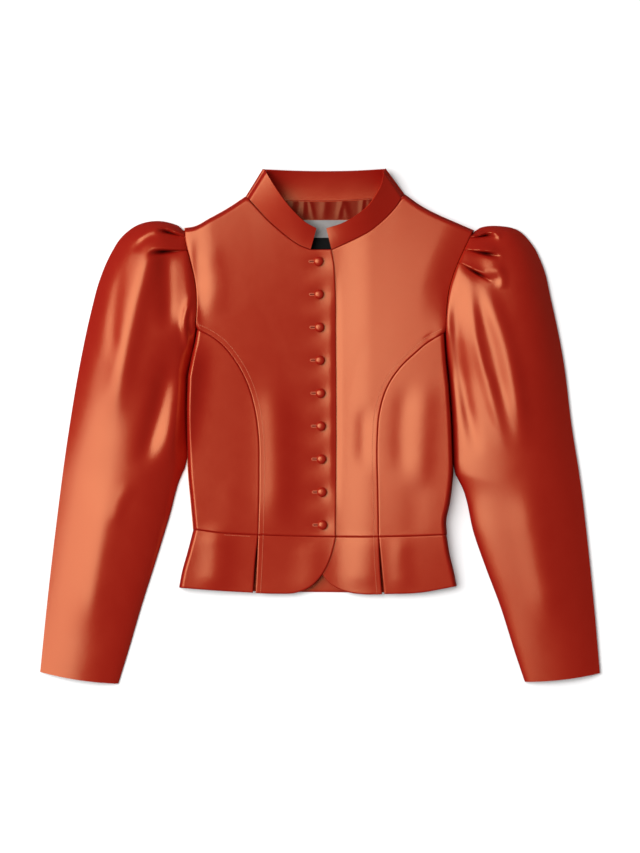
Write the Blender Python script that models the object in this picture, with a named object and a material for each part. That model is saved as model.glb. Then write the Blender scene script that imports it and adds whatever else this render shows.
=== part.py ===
"""Satin jacket with puff sleeves, laid flat on its back.

Collar towards +Y, front facing +Z, wearer's left towards +X, resting on z = 0.
Sizes are millimetres here and become metres when a mesh is made.
"""
import math
from collections import namedtuple

import bmesh
import bpy
import numpy as np

METRE = 0.001

# Cloth and seams
WALL = 1.6
COLLAR_WALL = 2.0
LABEL_WALL = 1.0
SEAM = 0.3
ARM_GAP = 0.7
EDGE = WALL + SEAM
LAP_DIP = WALL + 0.7
DIP_FROM = 66.0
DIP_TO = 21.0

# How the front rounds down to its edges
SIDE_WALL = 0.65
SIDE_WALL_REACH = 3.0
SIDE_ROUND = 22.0
ARM_ROUND = 38.0
ARM_FADE = 0.5
ARM_DROPS = {"right": 0.3, "left": 0.2}
CENTRE = 3.0
HALF_WIDTH = 165.0
FRONT_TURN = 1.0
FRONT_SOFT = 0.10

# Sleeve section
SLEEVE_SEAM_CURVES = {"right": 1.4, "left": 0.6}
SLEEVE_FOLD_CURVE = 2.0
SLEEVE_CORNER = 4.0
CORNER_SHARE = 0.16
UNDERARM_FROM = -30.0
UNDERARM_END = 60.0
FREE_FROM = 12.0
CUFF_HEIGHT = 13.0
CUFF_BOW = 2.5
BOW_FROM = 0.8
LIFT_FROM = 4.0
LIFT_FULL = 16.0

# Section of a pleat and of a fold's ends
PLEAT_EDGE = 1.2
PLEAT_LIP = 8.0
PLEAT_HOLLOW = 6.0
HOLLOW_DEPTH = 0.7
PLEAT_PAIR = 1.6
MOUTH_FROM = -0.35
MOUTH_FULL = 0.4
MOUTH_FADE = 0.55
FOLD_ENDS = 0.3

# Collar
STAND_END = 3.0
FOLD_STAND = 9.0
ROLL_RISE = 8.0
ROLL_REACH = 60.0
STAND_MIDDLE = 8.0
BACK_RISE = 8.0
NECK_GAP = 0.7
FOLD_BULGE = 2.6
FOLD_LOW = 6.5

# Buttons down the lap, cloth-covered domes
BUTTON_COUNT = 9
BUTTON_RADIUS = 5.9
BUTTON_HEIGHT = 5.6
BUTTON_FOOT = 4.4
BUTTON_RIM = 1.6
BUTTON_TOP_X = -2.0
BUTTON_TOP_Y = 210.8
BUTTON_LOW_X = 3.0
BUTTON_LOW_Y = -125.8

# Inside the back neck
FACING_RISE = 1.8
FACING_WAVES = 9
FACING_FROM = 0.13
FACING_SPAN = 0.74
FACING_BELOW = 1.0
FACING_ROWS = [0.0, 0.35, 0.7, 1.0]
FACING_SWELL = [0.35, 0.8, 1.0, 0.7]
LABEL_WIDTH = 70.0
LABEL_LENGTH = 38.0
LABEL_CENTRE = 5.0
LABEL_TOP = 264.0

Spot = namedtuple("Spot", "x y")
Height = namedtuple("Height", "place y middle side")
Ring = namedtuple("Ring", "place inner outer crest")
Pleat = namedtuple("Pleat", "side inner depth reach")
Fold = namedtuple("Fold", "place x0 y0 x1 y1 x2 y2 width height")

# Outlines as laid, seen from above: the wearer's right side, then the left
OUTLINES = {
    "right": {
        "shoulder": [Spot(-173, 253.5), Spot(-161, 255.5), Spot(-141, 266), Spot(-116, 280), Spot(-95, 294)],
        "neck": [Spot(-95, 294), Spot(-81, 279), Spot(-67, 264), Spot(-53, 251.5), Spot(-39.5, 240.5),
                 Spot(-26, 231.5), Spot(-12, 226)],
        "lap_top": [Spot(-12, 226), Spot(14.5, 226.3)],
        "front_edge": [Spot(20, -141), Spot(20.8, 0), Spot(20.3, 110), Spot(19.5, 180), Spot(17.5, 211),
                       Spot(14.5, 226.3)],
        "armhole": [Spot(-158.5, 124.5), Spot(-157.3, 155), Spot(-159, 182), Spot(-165.5, 212),
                    Spot(-172.5, 240), Spot(-173, 253.5)],
        "underarm": [Spot(-169, 64), Spot(-164, 92), Spot(-160.5, 110), Spot(-158.5, 124.5)],
        "side": [Spot(-162, -131), Spot(-165, -98), Spot(-168.5, -60), Spot(-170, -20), Spot(-170.3, 20),
                 Spot(-169, 64)],
        "princess": [Spot(-79, -138.5), Spot(-77.5, -60), Spot(-78.5, -10), Spot(-83, 22), Spot(-92, 53),
                     Spot(-107, 82), Spot(-129, 108), Spot(-144, 118), Spot(-158.5, 124.5)],
        "waist_side": [Spot(-162, -131), Spot(-121, -136), Spot(-79, -138.5)],
        "waist_front": [Spot(-79, -138.5), Spot(-30, -140), Spot(20, -141)],
        "peplum_side": [Spot(-162, -131), Spot(-169.5, -160), Spot(-177, -187), Spot(-180.5, -206)],
        "slit_side": [Spot(-79, -138.5), Spot(-83, -175), Spot(-85.5, -212.5)],
        "slit_front": [Spot(-79, -138.5), Spot(-80.5, -175), Spot(-82.5, -213)],
        "hem_side": [Spot(-180.5, -206), Spot(-131, -209.8), Spot(-85.5, -212.5)],
        "hem_front": [Spot(-82.5, -213), Spot(-55, -213.8), Spot(-32, -212.8), Spot(-14, -206), Spot(2, -190),
                      Spot(14, -166), Spot(20, -144)],
        "sleeve_outer": [Spot(-173, 253.5), Spot(-187, 259), Spot(-205, 262.8), Spot(-232, 258.3),
                         Spot(-254, 242), Spot(-268, 220), Spot(-282, 187), Spot(-293, 146), Spot(-307, 80),
                         Spot(-322, -10), Spot(-338, -130), Spot(-349, -225), Spot(-358, -314)],
        "sleeve_inner": [Spot(-172.5, -52), Spot(-178, -64), Spot(-192, -113), Spot(-210, -172),
                         Spot(-229, -232), Spot(-243, -280), Spot(-258, -329)],
        "collar_top": [Spot(-73, 328.5), Spot(-63.5, 313.5), Spot(-53.5, 298.5), Spot(-42.5, 284),
                       Spot(-30, 270.5), Spot(-18.5, 260.5), Spot(-4.5, 253)],
    },
    "left": {
        "shoulder": [Spot(196, 251), Spot(175, 260), Spot(152, 270), Spot(129, 282), Spot(108, 297)],
        "neck": [Spot(108, 297), Spot(99, 283), Spot(90, 272.5), Spot(78, 261), Spot(64, 250),
                 Spot(48, 241.3), Spot(31, 233.3), Spot(14.7, 226)],
        "lap_top": [Spot(14.7, 226), Spot(-17, 225)],
        "front_edge": [Spot(-17, -140.5), Spot(-17, 40), Spot(-17, 225)],
        "armhole": [Spot(160.3, 119.5), Spot(161.5, 145), Spot(165.6, 178), Spot(174.5, 205), Spot(184, 226),
                    Spot(196, 251)],
        "underarm": [Spot(165.5, 51), Spot(162, 88), Spot(160.3, 119.5)],
        "side": [Spot(162, -138), Spot(161, -121), Spot(165.5, -99), Spot(170, -60), Spot(169.5, -20),
                 Spot(168, 15), Spot(165.5, 51)],
        "princess": [Spot(75, -140.8), Spot(74, -80), Spot(73.2, -18), Spot(76, 18), Spot(86, 50.5),
                     Spot(101, 73.5), Spot(122, 94), Spot(143, 111), Spot(160.3, 119.5)],
        "waist_side": [Spot(162, -138), Spot(118, -139.8), Spot(75, -140.8)],
        "waist_front": [Spot(75, -140.8), Spot(30, -141), Spot(-17, -140.5)],
        "peplum_side": [Spot(162, -138), Spot(166, -163), Spot(172, -188), Spot(175, -204)],
        "slit_side": [Spot(75, -140.8), Spot(78.5, -178), Spot(82, -214.3)],
        "slit_front": [Spot(75, -140.8), Spot(76.5, -178), Spot(79.3, -214.5)],
        "hem_side": [Spot(175, -204), Spot(124, -212.8), Spot(82, -214.3)],
        "hem_front": [Spot(79.3, -214.5), Spot(55, -214.5), Spot(33, -211.2), Spot(13, -201), Spot(2, -188),
                      Spot(-10, -164), Spot(-17, -143.5)],
        "sleeve_outer": [Spot(196, 251), Spot(209, 255.5), Spot(228, 256.5), Spot(253, 251), Spot(271, 233),
                         Spot(285, 205), Spot(296, 160), Spot(311, 86), Spot(322, 0), Spot(333, -70),
                         Spot(343, -155), Spot(351.5, -240), Spot(358, -315.5)],
        "sleeve_inner": [Spot(172.5, -60), Spot(181.5, -77), Spot(197, -137.5), Spot(213, -183),
                         Spot(230, -228), Spot(250, -291), Spot(262, -326.5)],
        "collar_top": [Spot(84, 329), Spot(79.5, 309), Spot(72.5, 296), Spot(62.5, 282), Spot(45, 268),
                       Spot(28, 259), Spot(8, 253)],
    },
}
BACK_NECK = [Spot(-95, 294), Spot(-50, 290), Spot(5, 288.4), Spot(60, 291), Spot(108, 297)]
BACK_COLLAR_TOP = [Spot(-73, 328.5), Spot(-35, 327), Spot(5, 326.4), Spot(45, 327), Spot(84, 329)]
BACK_HEM = [Spot(-180.5, -206), Spot(-130, -209.3), Spot(-60, -211.5), Spot(5, -212), Spot(80, -212.3),
            Spot(130, -210.3), Spot(175, -204)]
FACING_LOW = [Spot(-70, 272), Spot(-30, 266), Spot(5, 264.5), Spot(45, 266.5), Spot(85, 274)]

# Height of the front above the floor: down the middle and beside the edges
HEIGHTS = [
    Height("neck", 300, 15.5, 18),
    Height("chest", 200, 14.5, 27),
    Height("bust", 80, 13.5, 31),
    Height("ribs", -30, 13, 30),
    Height("waist", -138, 12.5, 26),
    Height("hem", -216, 11, 17),
]

# Sleeve sections, as shares of the seam-side and outer outlines, with the crest height of each
RINGS = [
    Ring("shoulder", 0.007, 0.014, 4.0),
    Ring("first pleat", 0.019, 0.088, 20),
    Ring("second pleat", 0.048, 0.176, 30),
    Ring("third pleat", 0.077, 0.284, 34),
    Ring("puff", 0.150, 0.362, 35),
    Ring("seam turn", 0.230, 0.414, 34),
    Ring("underarm", 0.310, 0.466, 32),
    Ring("upper arm", 0.410, 0.548, 29),
    Ring("side end", 0.515, 0.630, 26),
    Ring("elbow", 0.640, 0.724, 23),
    Ring("forearm", 0.810, 0.855, 19),
    Ring("cuff", 1.0, 1.0, CUFF_HEIGHT),
]

# Pleats at the sleeve heads: length down the armhole seam, depth, and reach as a share of the width
PLEATS = [
    Pleat("right", 11.5, 4.5, 0.62),
    Pleat("right", 29.0, 6.0, 0.52),
    Pleat("left", 11.4, 4.0, 0.55),
    Pleat("left", 28.5, 5.5, 0.48),
    Pleat("left", 46.5, 6.5, 0.34),
]

# Largest folds, as soft ridges along a bent line
FOLDS = [
    Fold("right front by armhole", -150, 240, -143, 185, -141, 128, 16, 1.6),
    Fold("right front by princess", -66, 75, -59, -30, -62, -150, 13, 2.8),
    Fold("left front hollow", 62, 35, 56, -10, 60, -65, 11, -0.9),
    Fold("left side hollow", 110, 60, 103, -10, 106, -70, 12, -0.9),
    Fold("left side ridge", 134, 70, 131, 0, 126, -90, 15, 1.2),
    Fold("right sleeve long ridge", -190, 290, -232, 168, -270, -10, 16, 5.0),
    Fold("right sleeve seam hollow", -196, 236, -194, 178, -192, 115, 12, -4.0),
    Fold("right sleeve seam ridge", -171, 250, -168, 190, -166, 130, 8, 5.0),
    Fold("right sleeve arm ridge", -170, 118, -184, 25, -208, -60, 14, 8.0),
    Fold("right sleeve arm hollow", -192, 85, -209, 10, -230, -60, 12, -3.5),
    Fold("right sleeve forearm", -262, -60, -282, -160, -298, -280, 22, 2.5),
    Fold("left sleeve inner ridge", 185, 215, 202, 105, 240, -40, 9, 2.6),
    Fold("left sleeve outer ridge", 196, 205, 236, 105, 262, -40, 12, 4.0),
    Fold("left sleeve hollow", 196, 175, 218, 90, 240, 10, 8, -1.0),
    Fold("left sleeve second puff", 212, 236, 217, 210, 218, 184, 13, 4.0),
    Fold("left sleeve forearm", 258, -60, 280, -160, 300, -280, 22, 2.5),
]


def smooth(at, knots, values):
    """Values of a smooth cubic through the knots."""
    knots = np.asarray(knots, float)
    values = np.asarray(values, float)
    at = np.clip(np.asarray(at, float), knots[0], knots[-1])
    slopes = np.gradient(values, knots, axis=0)
    left = np.clip(np.searchsorted(knots, at, side="right") - 1, 0, len(knots) - 2)
    span = knots[left + 1] - knots[left]
    part = (at - knots[left]) / span
    if values.ndim == 2:
        part, span = part[..., None], span[..., None]
    rise = part ** 2 * (3 - 2 * part)
    bend = part * (1 - part)
    return (values[left] * (1 - rise) + values[left + 1] * rise
            + span * bend * (slopes[left] * (1 - part) - slopes[left + 1] * part))


def lengths(line):
    """Distance along a polyline to each of its points."""
    return np.concatenate([[0.0], np.cumsum(np.linalg.norm(np.diff(line, axis=0), axis=1))])


def drawn(spots):
    """Fine polyline on a smooth curve through the spots."""
    knots = np.array(spots, float)
    at = lengths(knots)
    return smooth(np.linspace(0, at[-1], 16 * len(spots)), at, knots)


def along(line, shares):
    """Points at these shares of a polyline's length."""
    at = lengths(line)
    wanted = np.asarray(shares, float) * at[-1]
    return np.stack([np.interp(wanted, at, line[:, axis]) for axis in range(line.shape[1])], axis=1)


def joined(*lines):
    """Polylines end to end, with each shared point kept once."""
    return np.concatenate([lines[0]] + [line[1:] for line in lines[1:]])


def even(count):
    return np.linspace(0, 1, count + 1)


def eased(count, power):
    """Shares that crowd towards the start."""
    return np.linspace(0, 1, count + 1) ** power


def ramp(value, low, high):
    """Smooth step from 0 at low to 1 at high."""
    part = np.clip((value - low) / (high - low), 0, 1)
    return part * part * (3 - 2 * part)


def turned_in(distance, reach):
    """Quarter of a sine wave from 0 at an edge to 1 at its reach."""
    return np.sin(math.pi / 2 * np.clip(distance / reach, 0, 1))


def nearest(points, line):
    """Shortest distance from each point to a polyline, and the share of its length there."""
    start, step = line[:-1], np.diff(line, axis=0)
    away = points[:, None, :] - start[None]
    share = np.clip((away * step).sum(2) / (step ** 2).sum(1), 0, 1)
    gap = np.linalg.norm(away - share[..., None] * step, axis=2)
    best = gap.argmin(1)
    rows = np.arange(len(points))
    at = lengths(line)
    reached = at[best] + share[rows, best] * np.linalg.norm(step, axis=1)[best]
    return gap[rows, best], reached / at[-1]


LINES = {side: {name: drawn(spots) for name, spots in table.items()} for side, table in OUTLINES.items()}
SILHOUETTE = [joined(LINES[side]["peplum_side"][::-1], LINES[side]["side"]) for side in LINES]
SILHOUETTE += [LINES[side]["shoulder"] for side in LINES]
ARMHOLES = {side: LINES[side]["armhole"] for side in LINES}


def front_height(points):
    """Height of the outer face of the front at each point, before folds and lap."""
    side_gap = np.min([nearest(points, line)[0] for line in SILHOUETTE], axis=0) - SEAM / 2
    rows = sorted(HEIGHTS, key=lambda row: row.y)
    knots = [row.y for row in rows]
    middle = smooth(points[:, 1], knots, [row.middle for row in rows])
    side = smooth(points[:, 1], knots, [row.side for row in rows])
    out = np.hypot((points[:, 0] - CENTRE) / HALF_WIDTH, FRONT_SOFT) - FRONT_SOFT
    full = middle + (side - middle) * np.tanh(out / FRONT_TURN)
    slope = 1 - (1 - np.clip(side_gap / SIDE_ROUND, 0, 1)) ** 2
    kept = SIDE_WALL * turned_in(side_gap, SIDE_WALL_REACH) + (1 - SIDE_WALL) * slope
    for arm, line in ARMHOLES.items():
        arm_gap, up = nearest(points, line)
        kept *= 1 - ARM_DROPS[arm] * ramp(up, 0, ARM_FADE) * (1 - turned_in(arm_gap, ARM_ROUND))
    return EDGE + (full - EDGE) * kept


def under_lap(points):
    """How far the under front dips below the lap."""
    return LAP_DIP * (1 - ramp(points[:, 0], DIP_TO, DIP_FROM))


def fold_height(points, folds):
    """Sum of soft ridges and hollows at each point."""
    total = np.zeros(len(points))
    for fold in folds:
        line = drawn([Spot(fold.x0, fold.y0), Spot(fold.x1, fold.y1), Spot(fold.x2, fold.y2)])
        gap, share = nearest(points, line)
        ends = ramp(share, 0, FOLD_ENDS) * ramp(1 - share, 0, FOLD_ENDS)
        total += fold.height * np.exp(-(gap / fold.width) ** 2) * ends
    return total


def patch(bottom, top, left, right):
    """Grid inside four edge lines that meet at the corners, rows going up."""
    across = (lengths(bottom) / lengths(bottom)[-1] + lengths(top) / lengths(top)[-1]) / 2
    up = (lengths(left) / lengths(left)[-1] + lengths(right) / lengths(right)[-1]) / 2
    u, v = across[None, :, None], up[:, None, None]
    ruled = (1 - v) * bottom[None] + v * top[None] + (1 - u) * left[:, None] + u * right[:, None]
    corners = ((1 - u) * (1 - v) * bottom[0] + u * (1 - v) * bottom[-1]
               + (1 - u) * v * top[0] + u * v * top[-1])
    return ruled - corners


def inset(grid, gap):
    """The grid with its four edges moved in by the gap."""
    moved = grid.copy()
    for edge, inner in ((0, 1), (-1, -2)):
        step = grid[inner] - grid[edge]
        run = np.gradient(grid[edge], axis=0)
        normal = np.stack([-run[:, 1], run[:, 0]], axis=1)
        normal *= np.sign((normal * step).sum(1))[:, None] / np.linalg.norm(normal, axis=1)[:, None]
        moved[edge] += gap * normal
        step = grid[:, inner] - grid[:, edge]
        run = np.gradient(grid[:, edge], axis=0)
        normal = np.stack([-run[:, 1], run[:, 0]], axis=1)
        normal *= np.sign((normal * step).sum(1))[:, None] / np.linalg.norm(normal, axis=1)[:, None]
        moved[:, edge] += gap * normal
    return moved


def front_grid(side):
    """Centre front from waist to neck, princess seam to front edge."""
    line = LINES[side]
    top = joined(along(line["shoulder"], eased(4, 1.4)), along(line["neck"], even(6)),
                 along(line["lap_top"], even(2)))
    bottom = along(line["waist_front"], even(12))
    seam = joined(along(line["princess"], even(9)), along(line["armhole"], 1 - eased(6, 1.2)[::-1]))
    edge = along(line["front_edge"], even(15))
    return patch(bottom, top, seam, edge)


def side_grid(side):
    """Side front from waist to armhole, side seam to princess seam."""
    line = LINES[side]
    spread = eased(7, 1.8)
    return patch(along(line["waist_side"], spread), along(line["underarm"], spread),
                 along(line["side"], even(9)), along(line["princess"], even(9)))


def peplum_side_grid(side):
    """Side of the peplum from hem to waist, side seam to slit."""
    line = LINES[side]
    spread = eased(7, 1.8)
    return patch(along(line["hem_side"], spread), along(line["waist_side"], spread),
                 along(line["peplum_side"], even(4))[::-1], along(line["slit_side"], even(4))[::-1])


def peplum_front_grid(side):
    """Centre of the peplum from its rounded hem to the waist, slit to front edge."""
    line = LINES[side]
    corner = np.stack([line["hem_front"][-1], line["front_edge"][0]])
    return patch(along(line["hem_front"], even(12)), along(line["waist_front"], even(12)),
                 along(line["slit_front"], even(4))[::-1], along(corner, even(4)))


def across_back(lines, counts):
    return joined(*[along(line, even(count)) for line, count in zip(lines, counts)])


def back_grid():
    """Back from waist to shoulders and neck."""
    right, left = LINES["right"], LINES["left"]
    top = across_back([right["shoulder"], drawn(BACK_NECK), left["shoulder"][::-1]], [5, 8, 5])
    waist = np.stack([right["waist_side"][0], left["waist_side"][0]])
    edges = [across_back([line["side"], line["underarm"], line["armhole"]], [7, 3, 6])
             for line in (right, left)]
    return patch(along(waist, even(18)), top, edges[0], edges[1])


def back_peplum_grid():
    right, left = LINES["right"], LINES["left"]
    waist = np.stack([right["waist_side"][0], left["waist_side"][0]])
    return patch(along(drawn(BACK_HEM), even(14)), along(waist, even(14)),
                 along(right["peplum_side"], even(4))[::-1], along(left["peplum_side"], even(4))[::-1])


def face_normals(grid):
    """Unit normals of a grid of points, pointing up where it lies flat."""
    across = np.gradient(grid, axis=1)
    up = np.gradient(grid, axis=0)
    normal = np.cross(across, up)
    return normal / np.maximum(np.linalg.norm(normal, axis=2), 1e-9)[..., None]


def upright(points, height, step=0.5):
    """Unit normals of a height over the plan."""
    slope = [(height(points + move) - height(points - move)) / (2 * step) for move in ((step, 0), (0, step))]
    normal = np.stack([-slope[0], -slope[1], np.ones(len(points))], axis=1)
    return normal / np.linalg.norm(normal, axis=1)[:, None]


def shell(flat, wall, height, extra=None):
    """Outer and inner faces of a panel: a grid in plan raised to a height, and moved in by the wall."""
    rows, columns = flat.shape[:2]
    if np.cross(flat[0, 1] - flat[0, 0], flat[1, 0] - flat[0, 0]) < 0:
        flat = flat[:, ::-1]
    points = flat.reshape(-1, 2)
    base = np.concatenate([points, height(points)[:, None]], axis=1).reshape(rows, columns, 3)
    inner = base - wall * upright(points, height).reshape(rows, columns, 3)
    inner[..., 2] = np.maximum(inner[..., 2], EDGE)
    lift = np.zeros((rows, columns)) if extra is None else extra(points).reshape(rows, columns)
    outer = base.copy()
    outer[..., 2] += lift
    inner[..., 2] += lift
    return outer, inner


def slab(flat, low, high):
    """Faces of a panel that lies flat, from its low to its high side."""
    if np.cross(flat[0, 1] - flat[0, 0], flat[1, 0] - flat[0, 0]) < 0:
        flat = flat[:, ::-1]
    top = np.concatenate([flat, np.broadcast_to(high, flat.shape[:2])[..., None]], axis=2)
    bottom = np.concatenate([flat, np.full(flat.shape[:2] + (1,), float(low))], axis=2)
    return top, bottom


def seam_side(side):
    """Line that the sleeve follows on its seam side: armhole, body side, then its own free edge."""
    line = LINES[side]
    free = line["sleeve_inner"]
    beside = line["side"][::-1]
    beside = beside[beside[:, 1] > free[0, 1] + FREE_FROM]
    held = joined(line["armhole"][::-1], line["underarm"][::-1], beside)
    run = np.gradient(held, axis=0)
    turn = -1 if side == "right" else 1
    out = turn * np.stack([-run[:, 1], run[:, 0]], axis=1) / np.linalg.norm(run, axis=1)[:, None]
    return np.concatenate([held + ARM_GAP * out, free])


def sleeve_rows(side, count):
    """Ring numbers for a sleeve's sections, with a close pair on each pleat."""
    fine = np.linspace(0, len(RINGS) - 1, 1200)
    inner = smooth(fine, range(len(RINGS)), [ring.inner for ring in RINGS]) * lengths(seam_side(side))[-1]
    rows = list(np.linspace(0, len(RINGS) - 1, count))
    for pleat in PLEATS:
        if pleat.side == side:
            rows = [row for row in rows if abs(np.interp(row, fine, inner) - pleat.inner) > 2 * PLEAT_PAIR]
            rows += list(np.interp([pleat.inner - PLEAT_PAIR, pleat.inner + PLEAT_PAIR], inner, fine))
    return np.array(sorted(rows))


def pleat_height(side, inner, share):
    """Knife pleats: a raised lip on the shoulder side of each line and a hollow below it."""
    total = np.zeros(np.broadcast(inner, share).shape)
    for pleat in PLEATS:
        if pleat.side == side:
            gap = inner - pleat.inner
            below = (1 + np.tanh(gap / PLEAT_EDGE)) / 2
            lip = (1 - below) * np.exp(-np.abs(gap) / PLEAT_LIP)
            lip -= HOLLOW_DEPTH * below * np.exp(-np.abs(gap) / PLEAT_HOLLOW)
            part = share / pleat.reach
            mouth = ramp(part, MOUTH_FROM, MOUTH_FULL) * ramp(1 - part, 0, MOUTH_FADE)
            total = total + pleat.depth * lip * mouth
    return total


def sleeve_faces(side, rows, top_cells, floor_cells, folds):
    """Outer and inner faces of a sleeve: over the top from the seam, round the fold and back underneath."""
    inner_line, outer_line = seam_side(side), LINES[side]["sleeve_outer"]
    numbers = range(len(RINGS))
    inner_share = smooth(rows, numbers, [ring.inner for ring in RINGS])
    outer_share = smooth(rows, numbers, [ring.outer for ring in RINGS])
    crest = smooth(rows, numbers, [ring.crest for ring in RINGS])[:, None]
    start = along(inner_line, inner_share)
    width = along(outer_line, outer_share) - start
    span = np.linalg.norm(width, axis=1)[:, None]
    corner = np.minimum(SLEEVE_CORNER, CORNER_SHARE * span)
    past = lengths(inner_line)[-1] * inner_share - lengths(LINES[side]["armhole"])[-1]
    seam_height = EDGE + (front_height(start) - EDGE) * (1 - ramp(past, UNDERARM_FROM, UNDERARM_END))
    seam_height = np.minimum(seam_height[:, None], crest)
    angle = np.linspace(0, math.pi, top_cells + 1)[None]
    share = (1 - np.cos(angle)) / 2
    curve = SLEEVE_SEAM_CURVES[side] * (1 - share) + SLEEVE_FOLD_CURVE * share
    ends = seam_height * (1 - share) + corner * share
    rise = ends + (crest - ends) * np.sin(angle).clip(0) ** curve
    turn = np.linspace(0, math.pi / 2, 4)[None, 1:]
    turned = 1 - corner * (1 - np.cos(turn)) / span
    drop = corner * (1 - np.sin(turn))
    floor = np.linspace(1, 0, floor_cells + 1)[None, 1:] * turned[:, -1:]
    share = np.concatenate([np.broadcast_to(share, rise.shape), turned, floor], axis=1)
    level = np.concatenate([rise, drop, np.zeros(floor.shape)], axis=1)
    plan = start[:, None] + share[..., None] * width[:, None]
    plan[..., 1] -= CUFF_BOW * ramp(inner_share, BOW_FROM, 1)[:, None] * 4 * share * (1 - share)
    base = np.concatenate([plan, level[..., None]], axis=2)
    if side == "right":
        base = base[::-1]
    inside = base + WALL * face_normals(base)
    inside[..., 2] = np.maximum(inside[..., 2], WALL)
    if side == "right":
        base, inside = base[::-1], inside[::-1]
    top = top_cells + 1
    points = plan[:, :top].reshape(-1, 2)
    lift = fold_height(points, folds).reshape(len(rows), top)
    lift += pleat_height(side, (lengths(inner_line)[-1] * inner_share)[:, None], share[:, :top])
    lift *= np.sin(angle) ** 0.5 * ramp(crest, LIFT_FROM, LIFT_FULL)
    outer = base.copy()
    outer[:, :top, 2] += lift
    inside[:, :top, 2] += lift
    return outer, inside


def collar_faces(front_cells, back_cells, fold_cells, height_cells):
    """Outer and inner faces of the collar band: right front, round the fold, back, fold, left front."""
    stations = []
    rise = even(height_cells)[:, None]
    fold_level = (BACK_RISE + ROLL_RISE) * rise ** 2
    for side in ("right", "left"):
        line = LINES[side]
        base = along(line["neck"], even(front_cells))
        top = along(line["collar_top"], even(front_cells))
        out = base - top
        base = base - SEAM * out / np.linalg.norm(out, axis=1)[:, None]
        seam = front_height(base) - (under_lap(base) if side == "left" else 0)
        share = even(front_cells)
        low = np.maximum(seam, FOLD_LOW)
        high = low + STAND_END + (STAND_MIDDLE - STAND_END) * np.sin(math.pi * share) + (1 - share) * FOLD_STAND
        low = low[:, None]
        front = [np.append(base[i] + rise * (top[i] - base[i]), low[i] + rise * (high[i] - low[i]), axis=1)
                 for i in range(front_cells, -1, -1)]
        crease = front[-1]
        run = crease[-1, :2] - crease[0, :2]
        sign = -1 if side == "right" else 1
        away = sign * np.array([run[1], -run[0]]) / np.linalg.norm(run)
        turns = np.linspace(0, math.pi, fold_cells + 2)[1:-1]
        drop = crease[:, 2:] - fold_level
        gap = np.array([0, NECK_GAP])
        folds = [np.append(crease[:, :2] + FOLD_BULGE * math.sin(turn) * away + gap * (1 - math.cos(turn)) / 2,
                           fold_level + drop * (1 + math.cos(turn)) / 2, axis=1) for turn in turns]
        pulled = list((1 - share[::-1]) ** 3) + [1.0] * fold_cells
        stations.append([station - np.append(FOLD_BULGE * pull * away, 0)
                         for station, pull in zip(front + folds, pulled)])
    low = along(drawn(BACK_NECK), even(back_cells)) + gap
    high = along(drawn(BACK_COLLAR_TOP), even(back_cells))
    away = np.minimum(even(back_cells), 1 - even(back_cells)) * lengths(high)[-1]
    top = BACK_RISE + ROLL_RISE * (1 - np.clip(away / ROLL_REACH, 0, 1)) ** 2
    back = [np.append(low[i] + rise * (high[i] - low[i]), top[i] * rise ** 2, axis=1)
            for i in range(1, back_cells)]
    band = np.stack(stations[0] + back + stations[1][::-1])
    normal = face_normals(band)
    inside = band + COLLAR_WALL * normal
    if inside[..., 2].min() < -0.5:
        inside = band - COLLAR_WALL * normal
    return band, inside


def closed_mesh(name, outer, inner):
    """One closed body from an outer and an inner face with the same grid."""
    rows, columns = outer.shape[:2]
    number = np.arange(rows * columns).reshape(rows, columns)
    quads = np.stack([number[:-1, :-1], number[:-1, 1:], number[1:, 1:], number[1:, :-1]], axis=-1)
    quads = quads.reshape(-1, 4)
    ring = np.concatenate([number[0], number[1:, -1], number[-1, -2::-1], number[-2:0:-1, 0]])
    ahead = np.roll(ring, -1)
    count = rows * columns
    rim = np.stack([ahead, ring, ring + count, ahead + count], axis=1)
    faces = np.concatenate([quads, quads[:, ::-1] + count, rim])
    points = np.concatenate([outer.reshape(-1, 3), inner.reshape(-1, 3)]) * METRE
    mesh = bpy.data.meshes.new(name)
    mesh.from_pydata(points.tolist(), [], faces.tolist())
    corners = np.array([points[face] for face in faces])
    volume = np.einsum("ij,ij->i", corners[:, 0], np.cross(corners[:, 1], corners[:, 2])).sum()
    volume += np.einsum("ij,ij->i", corners[:, 0], np.cross(corners[:, 2], corners[:, 3])).sum()
    if volume < 0:
        mesh.flip_normals()
    return mesh


def material(name, colour, roughness, metallic=0.0):
    made = bpy.data.materials.new(name)
    made.use_nodes = True
    shader = made.node_tree.nodes["Principled BSDF"]
    shader.inputs["Base Color"].default_value = (*colour, 1.0)
    shader.inputs["Roughness"].default_value = roughness
    shader.inputs["Metallic"].default_value = metallic
    made.diffuse_color = (*colour, 1.0)
    return made


def placed(name, mesh, look, root):
    mesh.materials.append(look)
    mesh.shade_smooth()
    mesh.set_sharp_from_angle(angle=math.radians(45))
    made = bpy.data.objects.new(name, mesh)
    bpy.context.scene.collection.objects.link(made)
    made.parent = root
    return made


def button_mesh(name):
    """Turned dome with a small flat foot."""
    arc = np.linspace(0, math.pi / 2, 5)
    profile = [(0, 0), (BUTTON_FOOT, 0)]
    dome = BUTTON_HEIGHT - BUTTON_RIM
    profile += [(BUTTON_RADIUS * math.cos(a), BUTTON_RIM + dome * math.sin(a)) for a in arc]
    shape = bmesh.new()
    spots = [shape.verts.new((radius * METRE, 0, level * METRE)) for radius, level in profile]
    edges = [shape.edges.new(pair) for pair in zip(spots, spots[1:])]
    bmesh.ops.spin(shape, geom=spots + edges, cent=(0, 0, 0), axis=(0, 0, 1), angle=2 * math.pi, steps=14)
    bmesh.ops.remove_doubles(shape, verts=shape.verts[:], dist=1e-6)
    bmesh.ops.recalc_face_normals(shape, faces=shape.faces[:])
    mesh = bpy.data.meshes.new(name)
    shape.to_mesh(mesh)
    shape.free()
    return mesh


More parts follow.
